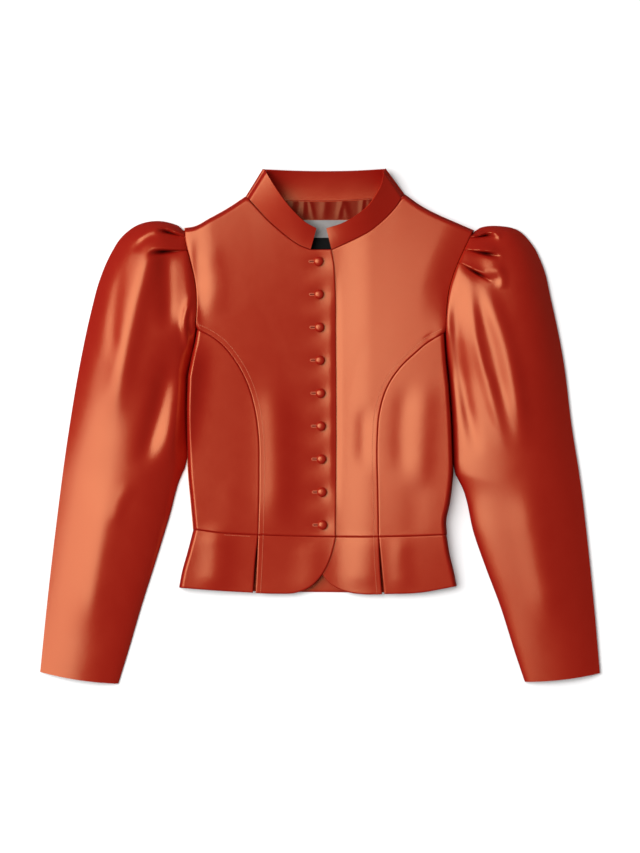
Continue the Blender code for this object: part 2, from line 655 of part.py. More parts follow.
def make_fronts(root, satin):
    def folds(points):
        return fold_height(points, FOLDS)

    def dipped(points):
        return fold_height(points, FOLDS) - under_lap(points)

    for side in ("right", "left"):
        extra = dipped if side == "left" else folds
        pieces = [("front", front_grid, extra), ("side_front", side_grid, folds),
                  ("peplum_front", peplum_front_grid, extra), ("peplum_side", peplum_side_grid, folds)]
        for name, grid, above in pieces:
            outer, inner = shell(inset(grid(side), SEAM / 2), WALL, front_height, above)
            placed(f"{name}_{side}", closed_mesh(f"{name}_{side}", outer, inner), satin, root)


def make_back(root, satin):
    for name, grid in (("back", back_grid), ("back_peplum", back_peplum_grid)):
        placed(name, closed_mesh(name, *slab(inset(grid(), SEAM / 2), 0, WALL)), satin, root)


def make_sleeves(root, satin):
    for side in ("right", "left"):
        outer, inner = sleeve_faces(side, sleeve_rows(side, 26), 14, 4, FOLDS)
        placed(f"sleeve_{side}", closed_mesh(f"sleeve_{side}", outer, inner), satin, root)


def make_collar(root, satin):
    placed("collar", closed_mesh("collar", *collar_faces(6, 8, 3, 3)), satin, root)


def make_neck_inside(root, satin, pale):
    """Gathered facing below the back collar, and the blank label under it."""
    columns = 4 * FACING_WAVES
    low = along(drawn(FACING_LOW), even(columns))
    high = along(drawn(BACK_NECK), FACING_FROM + FACING_SPAN * even(columns)) - np.array([0, FACING_BELOW])
    flat = low[None] + np.array(FACING_ROWS)[:, None, None] * (high - low)[None]
    wave = (1 - np.cos(2 * math.pi * FACING_WAVES * even(columns))) / 2
    rise = FACING_RISE * wave[None] * np.array(FACING_SWELL)[:, None]
    faces = slab(flat, EDGE, EDGE + LABEL_WALL + rise)
    placed("neck_facing", closed_mesh("neck_facing", *faces), satin, root)
    across = LABEL_CENTRE + LABEL_WIDTH * (even(2) - 0.5)
    down = LABEL_TOP - LABEL_LENGTH * even(2)[::-1]
    flat = np.stack(np.meshgrid(across, down), axis=2)
    placed("neck_label", closed_mesh("neck_label", *slab(flat, EDGE, EDGE + LABEL_WALL)), pale, root)


def make_buttons(root, satin):
    for number in range(BUTTON_COUNT):
        share = number / (BUTTON_COUNT - 1)
        x = BUTTON_TOP_X + share * (BUTTON_LOW_X - BUTTON_TOP_X)
        y = BUTTON_TOP_Y + share * (BUTTON_LOW_Y - BUTTON_TOP_Y)
        angle = 2 * math.pi * even(8)
        foot = np.stack([x + BUTTON_FOOT * np.cos(angle), y + BUTTON_FOOT * np.sin(angle)], axis=1)
        foot = np.vstack([foot, [x, y]])
        z = (front_height(foot) + fold_height(foot, FOLDS)).max() + SEAM
        made = placed(f"button_{number + 1}", button_mesh(f"button_{number + 1}"), satin, root)
        made.location = (x * METRE, y * METRE, z * METRE)


def main():
    for old in list(bpy.data.objects):
        bpy.data.objects.remove(old)
    root = bpy.data.objects.new("jacket", None)
    bpy.context.scene.collection.objects.link(root)
    satin = material("rust_satin", (0.42, 0.045, 0.015), 0.4, 0.2)
    pale = material("pale_label", (0.55, 0.54, 0.53), 0.8)
    covered = material("button_satin", (0.40, 0.06, 0.022), 0.42, 0.2)
    make_fronts(root, satin)
    make_back(root, satin)
    make_sleeves(root, satin)
    make_collar(root, satin)
    make_neck_inside(root, satin, pale)
    make_buttons(root, covered)


main()
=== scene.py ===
"""Looks of a satin jacket with puff sleeves, laid flat on its back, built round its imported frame.

Collar towards +Y, front facing +Z, wearer's left towards +X. The tables are in millimetres, and a mesh,
a light or a property is in metres.
"""
import math
from collections import namedtuple

import bmesh
import bpy
import numpy as np
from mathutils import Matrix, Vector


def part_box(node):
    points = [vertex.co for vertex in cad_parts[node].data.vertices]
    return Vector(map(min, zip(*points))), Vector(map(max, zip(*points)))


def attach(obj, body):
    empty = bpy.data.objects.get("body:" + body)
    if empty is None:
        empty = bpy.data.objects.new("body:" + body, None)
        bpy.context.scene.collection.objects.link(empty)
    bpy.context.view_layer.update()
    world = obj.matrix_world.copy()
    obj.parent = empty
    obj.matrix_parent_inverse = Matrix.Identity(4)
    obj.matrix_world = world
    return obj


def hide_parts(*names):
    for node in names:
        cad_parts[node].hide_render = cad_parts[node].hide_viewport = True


bl_info = {
    "name": "Satin Jacket",
    "version": (1, 0, 0),
    "blender": (4, 5, 0),
    "location": "3D View > Sidebar > Jacket",
    "description": "Dresses a jacket of satin panels, puff sleeves and covered buttons, laid flat",
    "category": "Object",
}

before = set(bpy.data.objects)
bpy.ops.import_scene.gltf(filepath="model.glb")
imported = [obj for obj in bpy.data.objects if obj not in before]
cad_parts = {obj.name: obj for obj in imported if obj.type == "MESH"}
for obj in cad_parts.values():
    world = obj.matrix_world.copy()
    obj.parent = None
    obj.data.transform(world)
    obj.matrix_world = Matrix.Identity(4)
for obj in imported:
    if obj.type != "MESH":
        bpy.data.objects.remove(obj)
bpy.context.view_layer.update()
BODY = "root"
METRE = 0.001
CLOTH_MAP = "cloth"
FOLD_SHADE = "fold_shade"

# Cloth, seams, and the shape of the fronts, sleeves and collar
WALL = 1.6
COLLAR_WALL = 2.0
LABEL_WALL = 1.0
SEAM = 0.3
ARM_GAP = 0.2
BACK_REACH = 0.6
EDGE = WALL + SEAM
LAP_DIP = WALL + 0.7
DIP_FROM = 66.0
DIP_TO = 21.0
SIDE_WALL = 0.65
SIDE_WALL_REACH = 3.0
SIDE_ROUND = 6.0
ARM_ROUND = 38.0
ARM_FADE = 0.5
ARM_DROPS = {"right": 0.3, "left": 0.2}
CENTRE = 3.0
HALF_WIDTH = 165.0
FRONT_TURN = 1.0
FRONT_SOFT = 0.10
SLEEVE_SEAM_CURVES = {"right": 1.4, "left": 0.6}
SLEEVE_FOLD_CURVE = 2.0
SLEEVE_CORNER = 4.0
UNDERARM_END = 60.0
CUFF_HEIGHT = 13.0
CUFF_BOW = 2.5
STAND_END = 3.0
FOLD_STAND = 9.0
ROLL_RISE = 8.0
ROLL_REACH = 60.0
STAND_MIDDLE = 8.0
BACK_RISE = 8.0
NECK_GAP = 0.7
FOLD_BULGE = 2.6
FOLD_LOW = 6.5
INSET_FADE = 4.0
CURVE_STEPS = 16
EDGE_PULL = 0.8
TURN_RISE = 3.0
FOLD_ENDS = 0.3
FOLD_REACH = 3
BELOW_FLOOR = -0.5
SHARP_EDGE = math.radians(50)

# Sleeve sections: the end of the held seam, the turn at the fold, the cuff, and where folds may rise
FREE_EDGE_GAP = 12.0
SEAM_FALL_FROM = -30.0
CORNER_SHARE = 0.16
CORNER_CELLS = 6
FLOOR_GAP = 1.5 * BACK_REACH
CUFF_BOW_FROM = 0.8
LIFT_FROM = 4.0
LIFT_FULL = 16.0
LIFT_CURVE = 0.5

# Mesh cells: of the back for each cell of its solid, and of a sleeve for each step of fineness
BACK_CELLS = 5
SLEEVE_ROWS = 20
SLEEVE_TOP_CELLS = 11
SLEEVE_FLOOR_CELLS = 12
ROW_SAMPLES = 2400
PLEAT_ROWS = np.array([0.12, 0.35, 0.65, 1.0, 1.5, 2.1, 2.9, 3.8])

# Section of a pleat; the slits' width and depth also set where painted shade falls
PLEAT_EDGE = 0.9
PLEAT_LIP = 8.0
PLEAT_HOLLOW = 6.0
HOLLOW_DEPTH = 0.7
MOUTH_FROM = -0.35
MOUTH_FULL = 0.4
MOUTH_FADE = 0.55
SLIT_WIDTH = 1.3
SLIT_DEPTH = 9.0
SLIT_NARROW = 0.5
SLIT_SHALLOW = 0.3
SLIT_FROM = 0.1
SLIT_FULL = 0.65
SLIT_FADE = 0.45

# Neck facing and label
FACING_CELLS = (240, 24)
FACING_FROM = 0.13
FACING_RUN = 0.74
FACING_DROP = 1.0
GATHER_SHARE = 0.6
GATHER_LOW = 0.35
GATHER_FULL = 0.6
LABEL_POINTS = (57, 33)
LABEL_WAVES = ((0.25, 1 / 9.0, 1 / 14.0), (0.15, 1 / 4.1, 0.0))
LABEL_BAND = 15.5

# Buttons and their holes
BUTTON_COUNT = 9
BUTTON_RADIUS = 5.9
BUTTON_RIM = 2.8
BUTTON_SIDES = ((0.75, 0.35), (0.92, 0.75), (0.99, 1.35), (1.0, BUTTON_RIM))
CROWN_CURVE = 0.8
CROWN_CELLS = 12
BUTTON_FACETS = 48
BUTTON_TURN = 6.0
BUTTON_SEED = 4
PUCKERS = ((11, 0.012, 0.0), (17, 0.0072, 1.3))
PUCKER_FROM = 0.6
SHANK_RADIUS = 2.2
SHANK_DROP = 1.0
SHANK_TOP = 0.25
HOLE_REACH = 11.0
HOLE_HALF = 1.3
HOLE_END = 2.0
HOLE_END_CELLS = 8
HOLE_STEPS = 40
HOLE_LIFT = 0.12
HOLE_STITCH = {"Pitch": 0.0005, "Across": 0.0014, "Height": 0.0009, "Along": 0.0006}
HOLE_SLIT_CELLS = 11
HOLE_SLIT_HALF = 0.35
HOLE_SLIT_TOP = 0.07
HOLE_SLIT_LOW = -0.2

# Topstitching and tacks, with a point on the side that each lies to
STITCH_FROM = 0.012
STITCH_RUN = 0.976
STITCH_LIFT = 0.1
STITCH_STEPS = 160
TACK_STEPS = 30
THREAD_FLAT = 0.9
MID_FRONT = (0, -40)
MID_PEPLUM = (0, -176)
SIDE_PEPLUM = (-120, -170)
TACK_INSET = 2.2
TACKS_FROM = 0.5
TACKS_RUN = 0.36

# The lap between its buttons
PLACKET_PUFF = 0.55
PLACKET_REACH = 17.0
BUTTON_PULL = 0.45
BUTTON_PULL_REACH = 9.0

# Scale of each grain in the satin, thread, buttonholes, label and floor
MOTTLE_SCALE = 38.0
SLUB_SCALE = (60.0, 900.0, 60.0)
FLOAT_SCALE = 560.0
CRUMPLE_SCALE = 160.0
THREAD_SCALE = 420.0
FRAY_SCALE = 900.0
CLOUD_SCALE = 90.0
GRAIN_SCALE = 30.0

# Satin: two tinted glosses over a matt body, and the painted shade of the facing inside the neck, as shares
# of its gloss and body colour
Gloss = namedtuple("Gloss", "tint rough share")
GLOSSES = (Gloss("glow", 0.29, 0.14), Gloss("sheen", 0.17, 0.085))
FACING_SHADE_SHINE = 0.25
FACING_SHADE_TONE = 0.5

# The key light: soft boxes of falling size about one middle, so that its edges fade; metres and watts
KEY_PLACE = (-2.19, 0.67, 3.52)
KEY_BOXES = ((3.2, 4.1, 104.0), (2.6, 3.55, 73.0), (2.0, 2.89, 46.0))
WORLD_LIGHT = 0.45
FLOOR_REACH = 4.0
FLOOR_LEVEL = -0.0002
FILM_HEIGHT = 36.0
FAR_CLIP = 50.0

Height = namedtuple("Height", "place y middle side")
Ring = namedtuple("Ring", "place inner outer crest")
Pleat = namedtuple("Pleat", "side inner depth reach")
Fold = namedtuple("Fold", "place x0 y0 x1 y1 x2 y2 width height")
Gather = namedtuple("Gather", "share width height lean")
Cut = namedtuple("Cut", "width length area rests")

# Outlines as laid, seen from above: the wearer's right side, then the left
OUTLINES = {
    "right": {
        "shoulder": [(-173, 253.5), (-161, 255.5), (-141, 266), (-116, 280), (-95, 294)],
        "neck": [(-95, 294), (-81, 279), (-67, 264), (-53, 251.5), (-39.5, 240.5), (-26, 231.5),
                 (-12, 226)],
        "lap_top": [(-12, 226), (14.5, 226.3)],
        "front_edge": [(20, -141), (20.8, 0), (20.3, 110), (19.5, 180), (17.5, 211), (14.5, 226.3)],
        "armhole": [(-158.5, 124.5), (-157.3, 155), (-159, 182), (-165.5, 212), (-172.5, 240),
                    (-173, 253.5)],
        "underarm": [(-169, 64), (-164, 92), (-160.5, 110), (-158.5, 124.5)],
        "side": [(-162, -131), (-165, -98), (-168.5, -60), (-170, -20), (-170.3, 20), (-169, 64)],
        "princess": [(-79, -138.5), (-77.5, -60), (-78.5, -10), (-83, 22), (-92, 53), (-107, 82),
                     (-129, 108), (-144, 118), (-158.5, 124.5)],
        "waist_side": [(-162, -131), (-121, -136), (-79, -138.5)],
        "waist_front": [(-79, -138.5), (-30, -140), (20, -141)],
        "peplum_side": [(-162, -131), (-169.5, -160), (-177, -187), (-180.5, -206)],
        "slit_side": [(-79, -138.5), (-83, -175), (-85.5, -212.5)],
        "slit_front": [(-79, -138.5), (-80.5, -175), (-82.5, -213)],
        "hem_side": [(-180.5, -206), (-131, -209.8), (-85.5, -212.5)],
        "hem_front": [(-82.5, -213), (-55, -213.8), (-32, -212.8), (-14, -206), (2, -190), (14, -166),
                      (20, -144)],
        "sleeve_outer": [(-173, 253.5), (-187, 259), (-205, 262.8), (-232, 258.3), (-254, 242),
                         (-268, 220), (-282, 187), (-293, 146), (-307, 80), (-322, -10), (-338, -130),
                         (-349, -225), (-358, -314)],
        "sleeve_inner": [(-172.5, -52), (-178, -64), (-192, -113), (-210, -172), (-229, -232),
                         (-243, -280), (-258, -329)],
        "collar_top": [(-73, 328.5), (-63.5, 313.5), (-53.5, 298.5), (-42.5, 284), (-30, 270.5),
                       (-18.5, 260.5), (-4.5, 253)],
    },
    "left": {
        "shoulder": [(196, 251), (175, 260), (152, 270), (129, 282), (108, 297)],
        "neck": [(108, 297), (99, 283), (90, 272.5), (78, 261), (64, 250), (48, 241.3), (31, 233.3),
                 (14.7, 226)],
        "lap_top": [(14.7, 226), (-17, 225)],
        "front_edge": [(-17, -140.5), (-17, 40), (-17, 225)],
        "armhole": [(160.3, 119.5), (161.5, 145), (165.6, 178), (174.5, 205), (184, 226), (196, 251)],
        "underarm": [(165.5, 51), (162, 88), (160.3, 119.5)],
        "side": [(162, -138), (161, -121), (165.5, -99), (170, -60), (169.5, -20), (168, 15),
                 (165.5, 51)],
        "princess": [(75, -140.8), (74, -80), (73.2, -18), (76, 18), (86, 50.5), (101, 73.5), (122, 94),
                     (143, 111), (160.3, 119.5)],
        "waist_side": [(162, -138), (118, -139.8), (75, -140.8)],
        "waist_front": [(75, -140.8), (30, -141), (-17, -140.5)],
        "peplum_side": [(162, -138), (166, -163), (172, -188), (175, -204)],
        "slit_side": [(75, -140.8), (78.5, -178), (82, -214.3)],
        "slit_front": [(75, -140.8), (76.5, -178), (79.3, -214.5)],
        "hem_side": [(175, -204), (124, -212.8), (82, -214.3)],
        "hem_front": [(79.3, -214.5), (55, -214.5), (33, -211.2), (13, -201), (2, -188), (-10, -164),
                      (-17, -143.5)],
        "sleeve_outer": [(196, 251), (209, 255.5), (228, 256.5), (253, 251), (271, 233), (285, 205),
                         (296, 160), (311, 86), (322, 0), (333, -70), (343, -155), (351.5, -240),
                         (358, -315.5)],
        "sleeve_inner": [(172.5, -60), (181.5, -77), (197, -137.5), (213, -183), (230, -228), (250, -291),
                         (262, -326.5)],
        "collar_top": [(84, 329), (79.5, 309), (72.5, 296), (62.5, 282), (45, 268), (28, 259), (8, 253)],
    },
}
BACK_NECK = [(-95, 294), (-50, 290), (5, 288.4), (60, 291), (108, 297)]
BACK_COLLAR_TOP = [(-73, 328.5), (-35, 327), (5, 326.4), (45, 327), (84, 329)]
BACK_HEM = [(-180.5, -206), (-130, -209.3), (-60, -211.5), (5, -212), (80, -212.3), (130, -210.3),
            (175, -204)]
FACING_LOW = [(-70, 272), (-30, 266), (5, 264.5), (45, 266.5), (85, 274)]

# Height of the front above the floor: down the middle and beside the edges
HEIGHTS = [
    Height("neck", 300, 15.5, 18),
    Height("chest", 200, 14.5, 27),
    Height("bust", 80, 13.5, 31),
    Height("ribs", -30, 13, 30),
    Height("waist", -138, 12.5, 26),
    Height("hem", -216, 11, 17),
]

# Sleeve sections, as shares of the seam-side and outer outlines, with the crest height of each
RINGS = [
    Ring("shoulder", 0.007, 0.014, 4.0),
    Ring("first pleat", 0.019, 0.088, 20),
    Ring("second pleat", 0.048, 0.176, 30),
    Ring("third pleat", 0.077, 0.284, 34),
    Ring("puff", 0.150, 0.362, 35),
    Ring("seam turn", 0.230, 0.414, 34),
    Ring("underarm", 0.310, 0.466, 32),
    Ring("upper arm", 0.410, 0.548, 29),
    Ring("side end", 0.515, 0.630, 26),
    Ring("elbow", 0.640, 0.724, 23),
    Ring("forearm", 0.810, 0.855, 19),
    Ring("cuff", 1.0, 1.0, CUFF_HEIGHT),
]

# Pleats at the sleeve heads: length down the armhole seam, depth, and reach as a share of the width
PLEATS = [
    Pleat("right", 11.5, 4.5, 0.62),
    Pleat("right", 29.0, 6.0, 0.52),
    Pleat("left", 11.4, 4.0, 0.55),
    Pleat("left", 28.5, 5.5, 0.48),
    Pleat("left", 46.5, 6.5, 0.34),
]

# Largest folds, as soft ridges along a bent line
FOLDS = [
    Fold("right front by armhole", -150, 240, -143, 185, -141, 128, 16, 1.6),
    Fold("right front by princess", -62, 75, -54, -30, -57, -150, 20, 3.0),
    Fold("left front hollow", 62, 35, 56, -10, 60, -65, 11, -0.9),
    Fold("left side hollow", 110, 60, 103, -10, 106, -70, 12, -0.9),
    Fold("left side ridge", 134, 70, 131, 0, 126, -90, 15, 1.2),
    Fold("right sleeve long ridge", -190, 290, -232, 168, -270, -10, 16, 5.0),
    Fold("right sleeve seam hollow", -196, 236, -194, 178, -192, 115, 12, -4.0),
    Fold("right sleeve seam ridge", -169, 262, -166, 190, -164, 95, 9, 3.4),
    Fold("right sleeve arm ridge", -164, 122, -177, 28, -201, -60, 17, 9.2),
    Fold("right sleeve arm hollow", -192, 85, -209, 10, -230, -60, 12, -3.5),
    Fold("right sleeve forearm", -262, -60, -282, -160, -298, -280, 22, 2.5),
    Fold("left sleeve inner ridge", 185, 215, 202, 105, 240, -40, 9, 2.6),
    Fold("left sleeve outer ridge", 196, 205, 236, 105, 262, -40, 12, 4.0),
    Fold("left sleeve hollow", 196, 175, 218, 90, 240, 10, 8, -1.0),
    Fold("left sleeve second puff", 212, 236, 217, 210, 218, 184, 13, 4.0),
    Fold("left sleeve forearm", 258, -60, 280, -160, 300, -280, 22, 2.5),
]

# Finer creases, as soft ridges and troughs of uneven length and depth
CREASES = [
    Fold("right sleeve outer trough", -250, 222, -262, 150, -264, 75, 9, -1.4),
    Fold("right sleeve leaf", -162, 172, -173, 134, -164, 88, 4, 3.0),
    Fold("right sleeve leaf hollow", -165, 152, -166, 134, -164, 112, 3, -2.0),
    Fold("right sleeve top tuck", -196, 252, -215, 250, -236, 236, 4, 1.4),
    Fold("right sleeve lower tuck", -202, 244, -222, 239, -240, 222, 5, -1.2),
    Fold("right sleeve elbow", -236, -70, -252, -90, -262, -130, 9, 0.9),
    Fold("left sleeve first puff", 219, 250, 226, 245, 232, 240, 4, 1.6),
    Fold("left sleeve third puff", 222, 206, 230, 194, 232, 172, 6, 1.8),
    Fold("left sleeve wedge", 166, 190, 177, 85, 201, -45, 9, -4.2),
    Fold("left lap trough", 20.5, 215, 20.5, 40, 20.5, -128, 4.5, -1.5),
    Fold("left sleeve between", 199, 135, 209, 95, 219, 55, 4, -0.6),
    Fold("left bust dimple", 136, 118, 140, 114, 143, 108, 3, -0.8),
    Fold("left lap dimple", 50, 25, 56, -8, 52, -48, 9, -0.5),
    Fold("left waist ripple", 118, -64, 122, -104, 116, -146, 16, -0.4),
    Fold("right waist ripple", -120, -64, -116, -100, -122, -136, 14, 0.3),
    Fold("right peplum corner", -10, -140, -8, -180, -18, -222, 20, 1.5),
    Fold("right peplum side", -134, -118, -131, -165, -140, -222, 19, 2.6),
    Fold("left peplum corner", 62, -130, 58, -160, 54, -214, 24, 1.2),
    Fold("left peplum side", 106, -134, 102, -170, 108, -216, 13, 1.0),
]

# Gathers of the neck facing: place across, width, height and lean in its width
GATHERS = [
    Gather(0.04, 0.030, 1.1, 0.02),
    Gather(0.13, 0.022, 1.7, -0.02),
    Gather(0.20, 0.034, 1.2, 0.03),
    Gather(0.31, 0.026, 1.9, 0.01),
    Gather(0.40, 0.020, 1.4, -0.03),
    Gather(0.48, 0.036, 1.7, 0.02),
    Gather(0.60, 0.024, 2.0, 0.04),
    Gather(0.68, 0.028, 1.5, -0.02),
    Gather(0.79, 0.022, 1.9, 0.03),
    Gather(0.87, 0.032, 1.3, 0.0),
    Gather(0.96, 0.024, 1.6, -0.03),
]


def length_property(label, text, default):
    """A length in metres that a user may change."""
    return bpy.props.FloatProperty(name=label, description=text, default=default, unit="LENGTH")


def colour_property(label, text, default):
    """A colour that a user may change."""
    return bpy.props.FloatVectorProperty(
        name=label, description=text, subtype="COLOR", size=3, default=default, min=0.0, max=1.0)


class JacketCloth(bpy.types.PropertyGroup):
    """Sizes of the sewing that a user may change."""

    panel_fineness: bpy.props.IntProperty(
        name="Panel fineness", description="Grid cells of a panel for each cell of its solid",
        default=8, min=2)
    edge_roll: length_property("Edge roll", "How far in from a seam the cloth starts to turn down", 0.0018)
    edge_dip: length_property("Edge dip", "How far the cloth turns down at a seam", 0.0008)
    topstitch_inset: length_property(
        "Topstitch inset", "Distance of the topstitching from the princess seam", 0.0065)
    stitch_length: length_property("Stitch length", "Length of one visible stitch", 0.0023)
    stitch_pitch: length_property("Stitch pitch", "Distance from one stitch to the next", 0.0030)
    thread_width: length_property("Thread width", "Width of the sewing thread", 0.0009)
    crease_depth: bpy.props.FloatProperty(
        name="Crease depth", description="Share of the finer creases' full depth", default=1.0,
        min=0.0, max=2.0, subtype="FACTOR")


class JacketColours(bpy.types.PropertyGroup):
    """Colours of the cloth, thread and label, and of painted shade in pleat slits and painted shadow in
    buttonholes, that a user may change.
    """

    satin: colour_property("Satin", "Body colour of the satin", (0.335, 0.0058, 0.0037))
    satin_deep: colour_property("Satin deep", "Deeper patches of the satin", (0.305, 0.0047, 0.0031))
    # Painted shade: the near black that the satin turns deep in the pleats' slits
    fold: colour_property("Fold", "Satin deep inside a pleat", (0.012, 0.0008, 0.0006))
    glow: colour_property("Glow", "Tint of the satin's broad gloss", (1.0, 0.24, 0.08))
    sheen: colour_property("Sheen", "Tint of light on the satin's floats", (0.72, 0.62, 0.35))
    thread: colour_property("Thread", "Sewing thread", (0.74, 0.25, 0.13))
    # Painted shadow in a buttonhole's cut: near black, flecked with frayed satin that is darkened as shade
    slit_shadow: colour_property("Slit", "Dark inside a buttonhole", (0.012, 0.002, 0.001))
    slit_fray_shadow: colour_property("Slit fray", "Frayed satin inside a buttonhole", (0.05, 0.005, 0.003))
    label: colour_property("Label", "Blank woven label", (0.36, 0.345, 0.335))
    label_grey: colour_property("Label grey", "Greyer patches of the label", (0.14, 0.13, 0.125))
    label_band: colour_property("Label band", "Dark lower band of the label", (0.004, 0.004, 0.004))
    floor: colour_property("Floor", "Plain pale floor", (0.95, 0.95, 0.95))


def smooth(at, knots, values):
    """Values of a smooth cubic through the knots."""
    knots = np.asarray(knots, float)
    values = np.asarray(values, float)
    at = np.clip(np.asarray(at, float), knots[0], knots[-1])
    slopes = np.gradient(values, knots, axis=0)
    left = np.clip(np.searchsorted(knots, at, side="right") - 1, 0, len(knots) - 2)
    span = knots[left + 1] - knots[left]
    part = (at - knots[left]) / span
    if values.ndim == 2:
        part, span = part[..., None], span[..., None]
    rise = part ** 2 * (3 - 2 * part)
    bend = part * (1 - part)
    return (values[left] * (1 - rise) + values[left + 1] * rise
            + span * bend * (slopes[left] * (1 - part) - slopes[left + 1] * part))


def lengths(line):
    """Distance along a polyline to each of its points."""
    return np.concatenate([[0.0], np.cumsum(np.linalg.norm(np.diff(line, axis=0), axis=1))])


def drawn(spots):
    """Fine polyline on a smooth curve through the spots."""
    knots = np.array(spots, float)
    at = lengths(knots)
    return smooth(np.linspace(0, at[-1], CURVE_STEPS * len(spots)), at, knots)


def along(line, shares):
    """Points at these shares of a polyline's length."""
    at = lengths(line)
    wanted = np.asarray(shares, float) * at[-1]
    return np.stack([np.interp(wanted, at, line[:, axis]) for axis in range(line.shape[1])], axis=1)


def joined(*lines):
    """Polylines end to end, with each shared point kept once."""
    return np.concatenate([lines[0]] + [line[1:] for line in lines[1:]])


def even(count):
    return np.linspace(0, 1, count + 1)


def crowded(count):
    """Shares that crowd towards both ends, where edges turn down."""
    return (1 - EDGE_PULL) * even(count) + EDGE_PULL * (1 - np.cos(math.pi * even(count))) / 2


def ramp(value, low, high):
    """Smooth step from 0 at low to 1 at high."""
    part = np.clip((value - low) / (high - low), 0, 1)
    return part * part * (3 - 2 * part)


def rounded(distance, radius):
    """Quarter-round from 0 at an edge to 1 at the radius."""
    part = np.clip(distance / radius, 0, 1)
    return np.sqrt(1 - (1 - part) ** 2)


def turned_in(distance, reach):
    """Quarter of a sine wave from 0 at an edge to 1 at its reach."""
    return np.sin(math.pi / 2 * np.clip(distance / reach, 0, 1))


def nearest(points, line):
    """Shortest distance from each point to a polyline, and the share of its length there."""
    start, step = line[:-1], np.diff(line, axis=0)
    away = points[:, None, :] - start[None]
    share = np.clip((away * step).sum(2) / (step ** 2).sum(1), 0, 1)
    gap = np.linalg.norm(away - share[..., None] * step, axis=2)
    best = gap.argmin(1)
    rows = np.arange(len(points))
    at = lengths(line)
    reached = at[best] + share[rows, best] * np.linalg.norm(step, axis=1)[best]
    return gap[rows, best], reached / at[-1]


def side_normals(line):
    """Unit normals of a polyline in plan, to its left."""
    run = np.gradient(line, axis=0)
    return np.stack([-run[:, 1], run[:, 0]], axis=1) / np.linalg.norm(run, axis=1)[:, None]


LINES = {side: {name: drawn(spots) for name, spots in table.items()} for side, table in OUTLINES.items()}
SILHOUETTE = [joined(LINES[side]["peplum_side"][::-1], LINES[side]["side"]) for side in LINES]
SILHOUETTE += [LINES[side]["shoulder"] for side in LINES]
UNDERARMS = [LINES[side]["underarm"] for side in LINES]
ARMHOLES = {side: LINES[side]["armhole"] for side in LINES}
BUTTON_SPOTS = [sum(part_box(f"button_{number + 1}"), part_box("button_1")[0] * 0) / 2 / METRE
                for number in range(BUTTON_COUNT)]


def front_height(points, turned=SILHOUETTE + UNDERARMS):
    """Height of the front's outer face before folds and lap, turned down along some of its edges."""
    side_gap = np.min([nearest(points, line)[0] for line in turned], axis=0) - SEAM / 2
    rows = sorted(HEIGHTS, key=lambda row: row.y)
    knots = [row.y for row in rows]
    middle = smooth(points[:, 1], knots, [row.middle for row in rows])
    side = smooth(points[:, 1], knots, [row.side for row in rows])
    out = np.hypot((points[:, 0] - CENTRE) / HALF_WIDTH, FRONT_SOFT) - FRONT_SOFT
    full = middle + (side - middle) * np.tanh(out / FRONT_TURN)
    slope = 1 - (1 - np.clip(side_gap / SIDE_ROUND, 0, 1)) ** 2
    kept = SIDE_WALL * turned_in(side_gap, SIDE_WALL_REACH) + (1 - SIDE_WALL) * slope
    for arm, line in ARMHOLES.items():
        arm_gap, up = nearest(points, line)
        kept *= 1 - ARM_DROPS[arm] * ramp(up, 0, ARM_FADE) * (1 - turned_in(arm_gap, ARM_ROUND))
    return EDGE + (full - EDGE) * kept


def fold_height(points, folds):
    """Sum of soft ridges and troughs at each point."""
    total = np.zeros(len(points))
    for fold in folds:
        line = drawn([(fold.x0, fold.y0), (fold.x1, fold.y1), (fold.x2, fold.y2)])
        reach = FOLD_REACH * fold.width
        near = ((points > line.min(0) - reach) & (points < line.max(0) + reach)).all(1)
        if near.any():
            gap, share = nearest(points[near], line)
            ends = ramp(share, 0, FOLD_ENDS) * ramp(1 - share, 0, FOLD_ENDS)
            total[near] += fold.height * np.exp(-(gap / fold.width) ** 2) * ends
    return total


def all_folds(points, crease_depth):
    """The large folds, and a share of the finer creases."""
    return fold_height(points, FOLDS) + crease_depth * fold_height(points, CREASES)


def placket_height(points):
    """The lap puffed between its buttons and drawn down at each."""
    x, y = points.T
    spots = np.array([spot[:2] for spot in BUTTON_SPOTS])
    pitch = (spots[0, 1] - spots[-1, 1]) / (BUTTON_COUNT - 1)
    inside = ramp(y, spots[-1, 1] - pitch, spots[-1, 1]) * ramp(-y, -spots[0, 1] - pitch / 2, -spots[0, 1])
    across = np.exp(-((x - spots[:, 0].mean()) / PLACKET_REACH) ** 2)
    total = -PLACKET_PUFF * across * inside * np.cos(2 * math.pi * (y - spots[-1, 1]) / pitch)
    for spot in spots:
        total -= BUTTON_PULL * np.exp(-((points - spot) ** 2).sum(1) / BUTTON_PULL_REACH ** 2)
    return total


def under_lap(points):
    """How far the under front dips below the lap."""
    return LAP_DIP * (1 - ramp(points[:, 0], DIP_TO, DIP_FROM))


def cloth_height(points, side, crease_depth):
    """Height of a front panel's outer face, with its folds, creases and lap."""
    total = front_height(points) + all_folds(points, crease_depth)
    return total + placket_height(points) if side == "right" else total - under_lap(points)


def patch(bottom, top, left, right):
    """Grid inside four edge lines that meet at the corners, rows going up."""
    across = (lengths(bottom) / lengths(bottom)[-1] + lengths(top) / lengths(top)[-1]) / 2
    up = (lengths(left) / lengths(left)[-1] + lengths(right) / lengths(right)[-1]) / 2
    u, v = across[None, :, None], up[:, None, None]
    ruled = (1 - v) * bottom[None] + v * top[None] + (1 - u) * left[:, None] + u * right[:, None]
    corners = ((1 - u) * (1 - v) * bottom[0] + u * (1 - v) * bottom[-1]
               + (1 - u) * v * top[0] + u * v * top[-1])
    return ruled - corners


